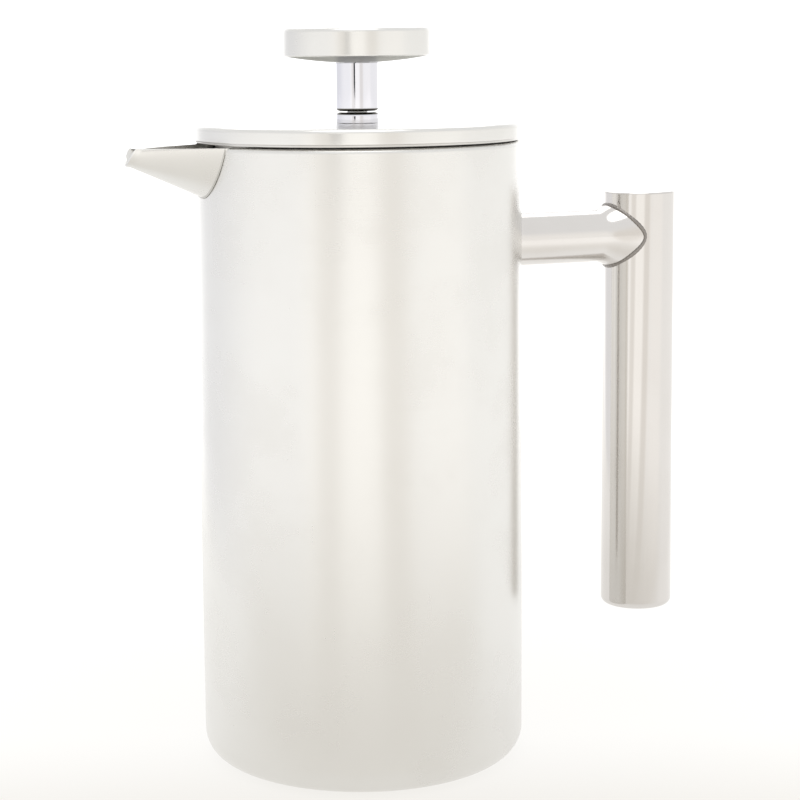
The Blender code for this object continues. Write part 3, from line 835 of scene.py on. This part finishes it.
# ---- Pot --------------------------------------------------------------------------------------------------
@dataclass
class Spout:
    """The open pouring trough: its section at the wall and at the lip, and its place.

    The lip is set back by tip_rake at the keel and by tip_sweep at the edges. Keel is the power that makes
    the section a V, half_turn is the section's share of a full turn, and lip_roll is how far the lip turns
    out. The passage runs passage_reach of a run to each side of the wall. The share overlap of its outline
    at each edge closes it, headroom above the rim.
    """

    wall_radius: float
    bore_radius: float
    edge_height: float
    tip_reach: float
    half_width: float = 15.3 * MM
    depth: float = 15.2 * MM
    tip_half_width: float = 3.2 * MM
    tip_depth: float = 4.8 * MM
    tip_rake: float = 0.3 * MM
    tip_sweep: float = 2.8 * MM
    keel: float = 1.5
    wall: float = 0.8 * MM
    lip_roll: float = 0.5 * MM
    half_turn: float = 0.4995
    passage_reach: float = 0.9
    overlap: float = 0.08
    headroom: float = 10 * MM

    def ray(self, angle: float) -> tuple[Vector, Vector]:
        """The straight line along the outside at an angle round the section.

        Args:
            angle: 0 at the keel, a quarter turn at the edges.

        Returns:
            The line's start on the wall, and its run to the lip.
        """
        fall = math.cos(angle) ** self.keel
        side = self.half_width * math.sin(angle)
        wall_x = -math.sqrt(self.wall_radius**2 - side**2)
        start = Vector((wall_x, side, self.edge_height - self.depth * fall))
        tip_x = -self.tip_reach + self.tip_rake * fall + self.tip_sweep * (1 - math.cos(angle))
        end = Vector((tip_x, self.tip_half_width * math.sin(angle), self.edge_height - self.tip_depth * fall))
        return start, end - start

    def inner_share(self, angle: float) -> float:
        """Where that line meets the liner's bore.

        Args:
            angle: the line's angle round the section.

        Returns:
            A share of the line's run, below 0.
        """
        start, run = self.ray(angle)
        reach = self.bore_radius + SEAM
        a, b = run.xy.length_squared, 2 * start.xy.dot(run.xy)
        c = start.xy.length_squared - reach * reach
        return (-b + math.sqrt(b * b - 4 * a * c)) / (2 * a)

    def angle(self, turn: float) -> float:
        """The angle round the section at a share of the way round."""
        return self.half_turn * math.tau * (turn - 0.5)

    def point(self, share: float, turn: float, grow: float = 0.0) -> Vector:
        """A point of the outside.

        Args:
            share: the share of the run.
            turn: the share of the way round the section.
            grow: how far the point is pushed out.

        Returns:
            The point.
        """
        angle = self.angle(turn)
        start, run = self.ray(angle)
        spread = Vector((0.0, math.sin(angle), -math.cos(angle))) * grow
        return start + run * share + spread

    def surface(self) -> bmesh.types.BMesh:
        """The trough's outside, from the bore to the lip, with the lip rolled slightly outwards.

        Returns:
            The surface.
        """
        def place(along: float, turn: float) -> Vector:
            """A point of the trough.

            Args:
                along: the share of the way from the bore to the lip.
                turn: the share of the way round the section.

            Returns:
                The point.
            """
            first = self.inner_share(self.angle(turn))
            share = first + (1 - first) * along
            rolled = max(0.0, (share - 0.9) / 0.1) ** 2 * self.lip_roll
            return self.point(share, turn, rolled) + Vector((0.3 * rolled, 0.0, 0.0))

        return loft(48, 56, place)

    def passage(self) -> bpy.types.Object:
        """A solid that cuts the trough's way through both walls, open above the rim.

        Returns:
            The solid, for one cut.
        """
        above, lap = self.edge_height + self.headroom, self.overlap

        def place(along: float, turn: float) -> Vector:
            """A point of the passage's skin: the trough, drawn up to a flat top at both edges.

            Args:
                along: the share of the passage's length.
                turn: the share of the way round its outline.

            Returns:
                The point.
            """
            share = 2 * self.passage_reach * along - self.passage_reach
            if lap <= turn <= 1 - lap:
                return self.point(share, (turn - lap) / (1 - 2 * lap), SEAM)
            end = self.point(share, 0.0 if turn < 0.5 else 1.0, SEAM)
            lift = (lap - turn if turn < 0.5 else turn - 1 + lap) / lap
            middle = max(0.0, 2 * lift - 1)
            return Vector((end.x, end.y * (1 - middle), end.z + (above - end.z) * min(1.0, 2 * lift)))

        work = loft(2, 50, place)
        ends = [edge for edge in work.edges if edge.is_boundary]
        bmesh.ops.holes_fill(work, edges=ends, sides=0)
        bmesh.ops.triangulate(work, faces=work.faces)
        bmesh.ops.recalc_face_normals(work, faces=work.faces)
        return as_object("passage", work)


@dataclass
class Pot(Assembly):
    """The double-walled body with its foot and spout."""

    body: str = "pot"
    wall: float = 0.8 * MM
    foot_round: float = 8 * MM
    rim_round: float = 1.6 * MM
    liner_round: float = 6 * MM
    seam_bead: float = 0.32 * MM
    ring_radius: float = 27 * MM
    ring_width: float = 4 * MM

    def __post_init__(self) -> None:
        """Reads the sizes of the walls from the frame."""
        self.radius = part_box("outer_shell")[1].x
        self.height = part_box("outer_shell")[1].z
        self.liner_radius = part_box("inner_vessel")[1].x
        self.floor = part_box("inner_vessel")[0].z
        tip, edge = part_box("spout")
        self.trough = Spout(self.radius, self.liner_radius - self.wall, edge.z, -tip.x)

    def build(self) -> None:
        """Makes the shell, the liner, the foot plate, the spout and its weld."""
        self._shell()
        self._liner()
        self._foot_plate()
        self._spout()

    def _shell(self) -> None:
        """The outer wall, with a rounded foot and a rim rolled in to the liner."""
        r, h, w = self.radius, self.height, self.wall
        rim, foot = self.liner_radius + SEAM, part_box("base_plate")[1].x + SEAM
        outline = [
            Corner(rim, h), Corner(r, h, self.rim_round), Corner(r, 0.0, self.foot_round), Corner(foot, 0.0),
            Corner(foot, w), Corner(r - w, w, self.foot_round - w), Corner(r - w, h - w, self.rim_round - w),
            Corner(rim, h - w),
        ]
        self.turned("pot_shell", BODY_STEEL, "outer_shell", outline, self.trough.passage(), segments=12)

    def _liner(self) -> None:
        """The inner wall and floor."""
        r, h, w, floor = self.liner_radius, self.height, self.wall, self.floor
        outline = [
            Corner(0.0, floor), Corner(r, floor, self.liner_round), Corner(r, h), Corner(r - w, h),
            Corner(r - w, floor + w, self.liner_round - w), Corner(0.0, floor + w),
        ]
        self.turned("pot_liner", LINER_STEEL, "inner_vessel", outline, self.trough.passage(), ring=False)

    def _foot_plate(self) -> None:
        """The disc that the pot stands on, with a stamped ring."""
        high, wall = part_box("base_plate")[1], self.wall
        depth = high.z - wall
        inner, outer = self.ring_radius - self.ring_width / 2, self.ring_radius + self.ring_width / 2
        outline = [
            Corner(0.0, 0.0), Corner(inner, 0.0), Corner(inner + depth, depth), Corner(outer - depth, depth),
            Corner(outer, 0.0), Corner(high.x, 0.0, 0.2 * MM), Corner(high.x, wall), Corner(outer, wall),
            Corner(outer - depth, wall + depth), Corner(inner + depth, wall + depth), Corner(inner, wall),
            Corner(0.0, wall),
        ]
        self.turned("foot_plate", LINER_STEEL, "base_plate", outline, ring=False, segments=3)

    def _spout(self) -> None:
        """The trough, and the fine weld round it on the wall."""
        trough = as_object("pouring_spout", self.trough.surface())
        thicken(trough, self.trough.wall, even=True)
        self.add(trough, BODY_STEEL, "spout", soften=0.22 * MM)

        def centre(share: float) -> Vector:
            """The weld's line on the wall."""
            return self.trough.point(0.006, 0.004 + 0.992 * share)

        def thickness(share: float) -> float:
            """The weld's radius, slightly rippled and drawn out at its ends."""
            ends = min(1.0, 12 * share, 12 * (1 - share)) * 0.85 + 0.15
            return self.seam_bead * ends * (1 + 0.08 * math.sin(260 * share))

        self.add(as_object("spout_weld", wire(centre, thickness, 220, 12)), SEAM_STEEL)


# ---- Handle -----------------------------------------------------------------------------------------------
@dataclass
class Handle(Assembly):
    """The level arm and the upright grip, with the grip's caps and the welds."""

    body: str = "pot"
    tube_wall: float = 1.2 * MM
    arm_radius: float = 8.35 * MM
    flare_length: float = 5.0 * MM
    grip_bead: float = 0.62 * MM
    wall_bead: float = 0.3 * MM
    grip_steps: int = 128

    def __post_init__(self) -> None:
        """Reads the tubes' places from the frame."""
        low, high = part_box("handle_grip")
        self.grip_x = (low.x + high.x) / 2
        self.grip_radius = (high.x - low.x) / 2
        self.tube_low, self.tube_high = low.z, high.z
        self.pot_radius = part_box("outer_shell")[1].x
        low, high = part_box("handle_arm")
        self.arm_z = (low.z + high.z) / 2
        self.flare_half_width = (high.y - low.y) / 2
        self.flare_half_height = (high.z - low.z) / 2

    def build(self) -> None:
        """Makes the arm, the grip, its caps and the welds."""
        self._arm()
        self._grip()
        self._cap("grip_top", "grip_cap_top", 0.6 * MM, top=True)
        self._cap("grip_foot", "grip_cap_bottom", 2.2 * MM, top=False)

    def _flare(self, share: float) -> tuple[float, float]:
        """The arm's section in its flare.

        Args:
            share: the share of the way into the flare.

        Returns:
            The half width and the half height.
        """
        eased = share * share
        return (
            self.arm_radius + (self.flare_half_width - self.arm_radius) * eased,
            self.arm_radius + (self.flare_half_height - self.arm_radius) * eased * (1.8 - 0.8 * share),
        )

    def _arm(self) -> None:
        """The tube, fitted to the wall at one end and flared round the grip at the other."""
        pot_fit, grip_fit = self.pot_radius + SEAM / 3, self.grip_radius + SEAM / 3

        def skin_point(along: float, turn: float) -> Vector:
            """A point of the tube's skin.

            Args:
                along: the share of the way from the wall to the grip, with the flare in its second half.
                turn: the share of the way round the tube.

            Returns:
                The point.
            """
            angle = math.tau * turn
            flare_start = self.grip_x - self.grip_radius - self.flare_length
            flared = along > 0.5
            width, height = self._flare(2 * along - 1) if flared else (self.arm_radius, self.arm_radius)
            y, z = width * math.cos(angle), height * math.sin(angle)
            near = math.sqrt(pot_fit**2 - y * y)
            far = self.grip_x - math.sqrt(max(grip_fit**2 - y * y, 0.0))
            if flared:
                x = flare_start + (far - flare_start) * (2 * along - 1)
            else:
                x = near + (flare_start - near) * 2 * along
            return Vector((x, y, self.arm_z + z))

        skin = as_object("handle_tube_arm", loft(64, 96, skin_point))
        thicken(skin, self.tube_wall, even=False)
        settle(skin)
        self.add(skin, ARM_STEEL, "handle_arm")
        self._bead("grip_weld", self.flare_half_width, self.flare_half_height, self._on_grip, self.grip_bead)
        self._bead("wall_weld", self.arm_radius, self.arm_radius, self._on_wall, self.wall_bead)

    def _on_grip(self, side: float) -> float:
        """Where the grip's near surface lies, this far to the side of its axis."""
        return self.grip_x - math.sqrt(self.grip_radius**2 - side * side)

    def _on_wall(self, side: float) -> float:
        """Where the pot's wall lies, this far to the side of the handle's plane."""
        return math.sqrt(self.pot_radius**2 - side * side)

    def _bead(
        self, name: str, width: float, height: float, seat: Callable[[float], float], radius: float
    ) -> None:
        """A rippled weld bead round one end of the arm.

        Args:
            name: the piece's name.
            width: half the ring's width.
            height: half the ring's height.
            seat: where the bead lies along X, for a distance to the side.
            radius: the bead's radius.
        """
        def centre(share: float) -> Vector:
            """The bead's line."""
            angle = math.tau * share
            side = width * math.cos(angle)
            return Vector((seat(side), side, self.arm_z + height * math.sin(angle)))

        def thickness(share: float) -> float:
            """The bead's radius."""
            fine, coarse = math.sin(math.tau * 60 * share), math.sin(math.tau * 7 * share + 1)
            return radius * (1 + 0.05 * fine + 0.12 * coarse)

        self.add(as_object(name, wire(centre, thickness, 520, 12)), WELD_STEEL)

    def _grip(self) -> None:
        """The upright tube."""
        r, bore = self.grip_radius, self.grip_radius - self.tube_wall
        outline = [
            Corner(r, self.tube_low), Corner(r, self.tube_high), Corner(bore, self.tube_high),
            Corner(bore, self.tube_low),
        ]
        self.turned("grip_tube", GRIP_STEEL_SHADED, "handle_grip", outline, steps=self.grip_steps, x=self.grip_x)

    def _cap(self, name: str, node: str, edge: float, top: bool) -> None:
        """A disc with a spigot that closes one end of the grip.

        Args:
            name: the piece's name.
            node: the CAD node that it stands for.
            edge: how far its edge is rounded.
            top: True for the upper end.
        """
        low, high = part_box(node)
        end, seat, tip = (high.z, self.tube_high, low.z) if top else (low.z, self.tube_low, high.z)
        r, spigot = self.grip_radius, self.grip_radius - self.tube_wall - SEAM
        outline = [
            Corner(0.0, end), Corner(r, end, edge), Corner(r, seat), Corner(spigot, seat),
            Corner(spigot, tip), Corner(0.0, tip),
        ]
        self.turned(name, GRIP_STEEL_SHADED, node, outline, ring=False, steps=self.grip_steps, x=self.grip_x)


# ---- Lid --------------------------------------------------------------------------------------------------
@dataclass
class Lid(Assembly):
    """The cover with its underside, strainer skirt and bush."""

    body: str = "lid"
    wall: float = 0.8 * MM
    edge_round: float = 1.3 * MM
    slots: int = 24
    slot_width: float = 2.4 * MM
    slot_height: float = 6 * MM
    rod_hole: float = 3.3 * MM
    shank: float = 4.5 * MM

    def build(self) -> None:
        """Makes the cover, its underside, the skirt, the boss, the washer and the nut."""
        low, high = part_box("lid_cover")
        hole, side = self.shank + SEAM, high.x - self.wall
        outline = [
            Corner(hole, high.z), Corner(high.x, high.z, self.edge_round), Corner(high.x, low.z, 0.25 * MM),
            Corner(side, low.z), Corner(side, high.z - self.wall, 0.5 * MM), Corner(hole, high.z - self.wall),
        ]
        self.turned("lid_top", LID_STEEL, "lid_cover", outline)
        edge = 0.2 * MM
        self.turned("lid_underside", LINER_STEEL, "lid_base", flat_ring("lid_base", hole, edge), segments=3)
        self._skirt()
        self._boss()
        self.turned("washer", RUBBER, "boss_washer", flat_ring("boss_washer", hole, edge), segments=3)
        self.nut("bush_nut", "boss_nut", hole, 0.25 * MM)

    def _skirt(self) -> None:
        """The ring inside the mouth, with round-ended strainer slots."""
        low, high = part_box("lid_skirt")
        outer, inner, edge = high.x, high.x - self.wall, 0.3 * MM
        outline = [
            Corner(outer, low.z, edge), Corner(outer, high.z), Corner(inner, high.z),
            Corner(inner, low.z, edge),
        ]
        cutter = bmesh.new()
        for number in range(self.slots):
            self._slot(cutter, outer, (low.z + high.z) / 2, math.tau * (number + 0.5) / self.slots)
        slots = as_object("slots", cutter)
        self.turned("strainer_skirt", LINER_STEEL, "lid_skirt", outline, slots, segments=3)

    def _slot(self, work: bmesh.types.BMesh, radius: float, height: float, turn: float) -> None:
        """Adds one slot's solid, rounded at its upper and lower end.

        Args:
            work: the mesh that it is added to.
            radius: how far out it stands.
            height: its middle's height.
            turn: its angle about Z.
        """
        bar = bmesh.ops.create_cube(work, size=1.0)["verts"]
        bmesh.ops.scale(work, vec=(8 * self.wall, self.slot_width, self.slot_height), verts=bar)
        bmesh.ops.translate(work, vec=(radius, 0, height), verts=bar)
        ends = {
            edge for vert in bar for edge in vert.link_edges
            if abs(edge.verts[0].co.x - edge.verts[1].co.x) > self.wall
        }
        rounded = bmesh.ops.bevel(
            work, geom=list(ends), offset=self.slot_width * 0.49, offset_type="OFFSET", affect="EDGES",
            segments=5, profile=0.5, material=-1,
        )["verts"]
        whole = {vert for vert in rounded} | {vert for vert in bar if vert.is_valid}
        bmesh.ops.rotate(work, cent=(0, 0, 0), matrix=Matrix.Rotation(turn, 3, "Z"), verts=list(whole))

    def _boss(self) -> None:
        """The stepped bush that the rod runs in."""
        low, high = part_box("lid_boss")
        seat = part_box("lid_cover")[1].z + SEAM / 3
        outline = [
            Corner(self.rod_hole, high.z), Corner(high.x, high.z, 1.1 * MM), Corner(high.x, seat, 0.15 * MM),
            Corner(self.shank, seat), Corner(self.shank, low.z, 0.3 * MM), Corner(self.rod_hole, low.z),
        ]
        self.turned("bush", CHROME, "lid_boss", outline, steps=SMALL_STEPS)


# ---- Plunger ----------------------------------------------------------------------------------------------
@dataclass
class Plunger(Assembly):
    """The rod with the knob at its head and the filter at its foot."""

    body: str = "plunger"
    wall: float = 0.8 * MM
    hole: float = 3.3 * MM
    stud: float = 4 * MM
    coil_turns: int = 48
    coil_wire: float = 0.45 * MM
    plate_flat: float = 8.5 * MM
    plate_brow: float = 33.5 * MM
    plate_step: float = 1.2 * MM
    plate_round: float = 1.5 * MM
    ports: int = 12
    port_radius: float = 4.5 * MM
    port_circle: float = 27 * MM
    windows: int = 4
    window_inner: float = 13 * MM
    window_outer: float = 33 * MM
    spoke: float = 9 * MM

    def build(self) -> None:
        """Makes the rod, the filter and the knob."""
        self._rod()
        self._filter()
        self._knob()

    def _rod(self) -> None:
        """The rod and the collar above the filter."""
        low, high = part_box("plunger_rod")
        outline = [
            Corner(0.0, low.z), Corner(high.x, low.z, 0.6 * MM), Corner(high.x, high.z, 0.6 * MM),
            Corner(0.0, high.z),
        ]
        self.turned(
            "rod", PLAIN_STEEL, "plunger_rod", outline, ring=False, steps=SMALL_STEPS, segments=4
        )
        outline = flat_ring("rod_collar", self.hole, 0.5 * MM)
        self.turned("collar", PLAIN_STEEL, "rod_collar", outline, steps=SMALL_STEPS, segments=4)

    def _filter(self) -> None:
        """The coil plate, the coil, the woven screen, the cross plate and the hub."""
        self._coil_plate()
        self._coil()
        edge = 0.12 * MM
        outline = flat_ring("mesh_screen", self.hole, edge)
        self.turned("screen", WEAVE, "mesh_screen", outline, segments=2)
        outline = flat_ring("cross_plate", self.hole, edge)
        self.turned("spoked_plate", LINER_STEEL, "cross_plate", outline, self._window_cutter(), segments=2)
        self.nut("hub_nut", "filter_hub", self.hole, 0.35 * MM)

    def _coil_plate(self) -> None:
        """The dished plate with round ports."""
        low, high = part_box("coil_plate")
        crown, edge, w = high.z, low.z, self.wall
        flat, brow, bend = self.plate_flat, self.plate_brow, self.plate_round
        outline = [
            Corner(self.hole, crown), Corner(flat, crown, bend),
            Corner(brow, edge + w + self.plate_step, bend),
            Corner(high.x, edge + w, 0.2 * MM), Corner(high.x, edge, 0.2 * MM),
            Corner(brow, edge + self.plate_step, bend), Corner(flat, crown - w, bend),
            Corner(self.hole, crown - w),
        ]
        spare = 5 * MM
        ports = [
            tube_cutter(
                "port", self.port_radius, low.z - spare, high.z + spare,
                polar(self.port_circle, math.tau * number / self.ports),
            )
            for number in range(self.ports)
        ]
        self.turned("dished_plate", LINER_STEEL, "coil_plate", outline, *ports, segments=4)

    def _coil(self) -> None:
        """The spring round the filter's edge, wound from one endless wire."""
        low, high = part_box("coil_spring")
        middle = (low.z + high.z) / 2
        wound = (high.z - low.z) / 2 - self.coil_wire
        ring = high.x - self.coil_wire - wound

        def centre(share: float) -> Vector:
            """The wire's line."""
            round_axis, round_wire = math.tau * share, math.tau * share * self.coil_turns
            out, up = wound * math.cos(round_wire), wound * math.sin(round_wire)
            return polar(ring + out, round_axis, middle + up)

        work = coil_wire(centre, self.coil_wire, self.coil_turns * 22, 8)
        self.add(as_object("coil", work), PLAIN_STEEL, "coil_spring")

    def _window_cutter(self) -> bpy.types.Object:
        """The sector windows between the spokes of the cross plate.

        Returns:
            The solids that cut them.
        """
        low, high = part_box("cross_plate")
        work = bmesh.new()
        steps, spare = 16, 2 * MM
        forth, back = range(steps + 1), range(steps, -1, -1)
        for number in range(self.windows):
            middle = math.tau * (number + 0.5) / self.windows
            outline = []
            for radius, order in ((self.window_inner, forth), (self.window_outer, back)):
                half = math.pi / self.windows - math.asin(self.spoke / 2 / radius)
                for step in order:
                    angle = middle + half * (2 * step / steps - 1)
                    outline.append(work.verts.new(polar(radius, angle, low.z - spare)))
            floor = work.faces.new(outline)
            raised = bmesh.ops.extrude_face_region(work, geom=[floor])["geom"]
            tops = [part for part in raised if isinstance(part, bmesh.types.BMVert)]
            bmesh.ops.translate(work, vec=(0, 0, high.z - low.z + 2 * spare), verts=tops)
        bmesh.ops.recalc_face_normals(work, faces=work.faces)
        return as_object("windows", work)

    def _knob(self) -> None:
        """The knob's cap and underside, the nut inside it and the neck below it."""
        low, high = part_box("knob_cap")
        r, w, crown = high.x, self.wall, 0.6 * MM
        rounding = 1.3 * MM
        side_top = high.z - crown

        def rise(radius: float) -> float:
            """The height of the crowned top at a radius."""
            return side_top + crown * (1 - (radius / r) ** 2)

        radii = [r * share for share in (0.0, 0.2, 0.4, 0.6, 0.75, 0.88)]
        outline = [
            *(Corner(radius, rise(radius)) for radius in radii), Corner(r, side_top, rounding),
            Corner(r, low.z, 0.45 * MM), Corner(r - w, low.z), Corner(r - w, side_top - w, 0.5 * MM),
            *(Corner(radius, rise(radius) - w) for radius in reversed(radii)),
        ]
        self.turned("knob_top", KNOB_STEEL, "knob_cap", outline, ring=False)
        self._knob_underside()
        self.nut("knob_inner_nut", "knob_nut", self.stud + SEAM, 0.25 * MM)
        self._neck()

    def _knob_underside(self) -> None:
        """The knob's convex underside, from its edge in to the neck and the stud's hole."""
        low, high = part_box("knob_base")
        neck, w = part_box("knob_sleeve")[1].x, self.wall
        belly = high.z - w - low.z

        def underside(radius: float) -> float:
            """The height of the convex underside at a radius."""
            return low.z + belly * max(radius**2 - neck**2, 0.0) / (high.x**2 - neck**2)

        radii = [high.x * share for share in (1.0, 0.9, 0.8, 0.68, 0.55, 0.42)] + [neck, self.stud + SEAM]
        outline = [
            *(Corner(radius, underside(radius)) for radius in radii),
            *(Corner(radius, underside(radius) + w) for radius in reversed(radii)),
        ]
        # The underside takes the dark copy of the steel: painted shade under the knob.
        self.turned("knob_underside", UNDER_STEEL_PAINTED_SHADE, "knob_base", outline)

    def _neck(self) -> None:
        """The chrome neck, chamfered where it meets the bush, with a stud into the knob."""
        low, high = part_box("knob_sleeve")
        stud, neck = self.stud, high.x
        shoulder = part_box("knob_base")[0].z - SEAM / 3
        bore_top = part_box("plunger_rod")[1].z + SEAM
        outline = [
            Corner(0.0, high.z), Corner(stud, high.z, 0.4 * MM), Corner(stud, shoulder),
            Corner(neck, shoulder, 0.15 * MM), Corner(neck, low.z, 1.0 * MM), Corner(self.hole, low.z),
            Corner(self.hole, bore_top), Corner(0.0, bore_top),
        ]
        self.turned("neck", CHROME, "knob_sleeve", outline, ring=False, steps=SMALL_STEPS, segments=5)


# ---- Studio -----------------------------------------------------------------------------------------------
@dataclass(frozen=True)
class Camera:
    """Where the camera stands and how it is turned."""

    azimuth: float = -22.0
    distance: float = 653.9 * MM
    height: float = 220.3 * MM
    pitch: float = 8.31
    roll: float = -0.6
    lens: float = 95.94
    shift: tuple[float, float] = (0.0501, -0.0536)

    def place(self) -> None:
        """Makes the camera the scene's own."""
        turn, tilt, roll = (math.radians(v) for v in (self.azimuth, self.pitch, self.roll))
        ahead = Vector((-math.sin(turn) * math.cos(tilt), math.cos(turn) * math.cos(tilt), -math.sin(tilt)))
        level = Vector((math.cos(turn), math.sin(turn), 0.0))
        up = level.cross(ahead)
        right = level * math.cos(roll) + up * math.sin(roll)
        up = right.cross(ahead)
        data = bpy.data.cameras.new("camera")
        data.lens, data.sensor_width = self.lens, 36.0
        data.shift_x, data.shift_y = self.shift
        data.clip_start, data.clip_end = 0.01, 50.0
        camera = bpy.data.objects.new("camera", data)
        where = Vector((math.sin(turn) * self.distance, -math.cos(turn) * self.distance, self.height))
        camera.matrix_world = Matrix.Translation(where) @ Matrix((right, up, -ahead)).transposed().to_4x4()
        bpy.context.scene.collection.objects.link(camera)
        bpy.context.scene.camera = camera


@dataclass(frozen=True)
class Softbox:
    """An oval light that is aimed at a point."""

    name: str
    where: Direction
    aim: Direction
    size: tuple[float, float]
    power: float
    colour: Colour = (1.0, 1.0, 1.0)

    def hang(self) -> None:
        """Adds the light."""
        data = bpy.data.lights.new(self.name, "AREA")
        data.shape = "ELLIPSE"
        data.size, data.size_y = self.size
        data.energy, data.color = self.power, self.colour
        lamp = bpy.data.objects.new(self.name, data)
        lamp.location = self.where
        lamp.rotation_euler = (Vector(self.aim) - Vector(self.where)).to_track_quat("-Z", "Y").to_euler()
        bpy.context.scene.collection.objects.link(lamp)


CAMERA = Camera()
SOFTBOXES = (
    Softbox("back_box", (0.5, 1.3, 1.5), (0.1, 0.3, 0.0), (1.6, 1.2), 4.8),
    Softbox("overhead_box", (-0.2, -0.5, 1.8), (0.0, 0.0, 0.1), (1.4, 1.4), 4.6),
)


@dataclass(frozen=True)
class Studio:
    """The pale floor, the white room and the lights, laid out about the camera's azimuth."""

    floor_size: float = 12.0
    near_tone: Colour = (0.76, 0.735, 0.69)
    side_tone: Colour = (0.90, 0.89, 0.87)
    far_tone: Colour = (1.15, 1.14, 1.12)

    def build(self) -> None:
        """Makes the floor, the room's light and the softboxes."""
        self._floor()
        self._room()
        for light in SOFTBOXES:
            light.hang()

    def _floor(self) -> None:
        """A pale floor that glows as painted light, dimmer in front of the pot and brighter behind it, so
        that shadows stay faint.
        """
        work = bmesh.new()
        bmesh.ops.create_grid(work, x_segments=1, y_segments=1, size=self.floor_size / 2)
        floor = as_object("floor", work)
        made = bpy.data.materials.new("floor_paper")
        made.use_nodes = True
        graph = Graph(made.node_tree)
        place = graph.place()
        towards, rightward = self._compass(graph, place)
        way = graph.node("ShaderNodeVectorMath", {"operation": "NORMALIZE"}, {0: place})
        level = self._surroundings(graph, way)
        behind = graph.between(towards, 0.10, -0.02)
        far = graph.mix(graph.between(graph.size(rightward), 0.22, 0.34), self.far_tone, level)
        near = graph.mix(behind, self.near_tone, self.side_tone)
        tone = graph.mix(
            graph.between(graph.length(place), 0.04, 0.60), near, graph.mix(behind, level, far)
        )
        paper = graph.node("ShaderNodeBsdfDiffuse", {}, {"Color": (0.10, 0.10, 0.10, 1.0)})
        # Painted light: the floor's glow carries the tone, dimmer in front of the pot and brighter behind it.
        glow = graph.node("ShaderNodeEmission", {}, {"Color": tone, "Strength": 1.0})
        surface = graph.node("ShaderNodeAddShader", {}, {0: paper, 1: glow})
        graph.node("ShaderNodeOutputMaterial", {}, {"Surface": surface})
        floor.data.materials.append(made)

    def _room(self) -> None:
        """The room's tones all round, a pale ceiling, and one narrow dark edge in front."""
        world = bpy.data.worlds.new("white_room")
        bpy.context.scene.world = world
        world.use_nodes = True
        graph = Graph(world.node_tree)
        ray = graph.node("ShaderNodeTexCoord").other("Generated")
        level = self._surroundings(graph, ray)
        raised = graph.along(ray, (0.0, 0.0, 1.0))
        tone = graph.mix(graph.between(raised, 0.12, 0.50), level, (0.95, 0.95, 0.95))
        towards, rightward = self._compass(graph, ray)
        line = (
            graph.between(graph.size(rightward + 0.24), 0.075, 0.06)
            * graph.between(graph.size(raised + 0.01), 0.05, 0.035)
        )
        tone = graph.mix(line * graph.between(towards, 0.3, 0.5), tone, (0.03, 0.03, 0.035))
        background = graph.node("ShaderNodeBackground", {}, {"Color": tone, "Strength": 1.0})
        graph.node("ShaderNodeOutputWorld", {}, {"Surface": background})

    def _surroundings(self, graph: Graph, way: Signal) -> Signal:
        """The room's tone in a level direction: white behind, duller on the left, streaked in front.

        Args:
            graph: the tree that uses it.
            way: the direction.

        Returns:
            The tone.
        """
        towards, rightward = self._compass(graph, way)
        left = graph.mix(graph.between(towards, -0.55, 0.40), (0.90, 0.90, 0.92), (1.08, 1.07, 1.06))
        tone = graph.mix(graph.between(rightward, -0.30, 0.30), left, (1.04, 1.03, 1.01))
        strip = graph.between(rightward, 0.55, 0.72) * graph.between(towards, 0.10, 0.35)
        tone = graph.mix(strip, tone, (1.11, 1.09, 1.06))
        front = graph.between(towards, 0.74, 0.90)
        tone = graph.mix(front, tone, (1.18, 1.155, 1.115))
        for middle, half, dark in ((0.40, 0.24, 0.52), (-0.36, 0.19, 0.46)):
            streak = graph.between(graph.size(rightward - middle), half, 0.3 * half) * front * dark
            tone = graph.mix(streak, tone, (0.70, 0.655, 0.60))
        return graph.mix(graph.between(towards, -0.95, -0.68), (1.42, 1.42, 1.43), tone)

    def _compass(self, graph: Graph, way: Signal) -> tuple[Signal, Signal]:
        """Takes a direction apart.

        Args:
            graph: the tree that uses it.
            way: the direction.

        Returns:
            How far it runs towards the front of the set, and to the right.
        """
        turn = math.radians(CAMERA.azimuth)
        return (
            graph.along(way, (math.sin(turn), -math.cos(turn), 0.0)),
            graph.along(way, (math.cos(turn), math.sin(turn), 0.0)),
        )


def main() -> None:
    """Loads the frame, builds every piece round it, and lights it."""
    logging.basicConfig(level=logging.INFO, format="%(name)s: %(message)s")
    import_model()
    bpy.context.scene.view_settings.view_transform = "Standard"
    for assembly in (Pot(), Handle(), Lid(), Plunger()):
        assembly.build()
        LOG.info("%s has %d pieces on %s", type(assembly).__name__, len(assembly.made), assembly.body)
    CAMERA.place()
    Studio().build()


if __name__ == "__main__":
    main()
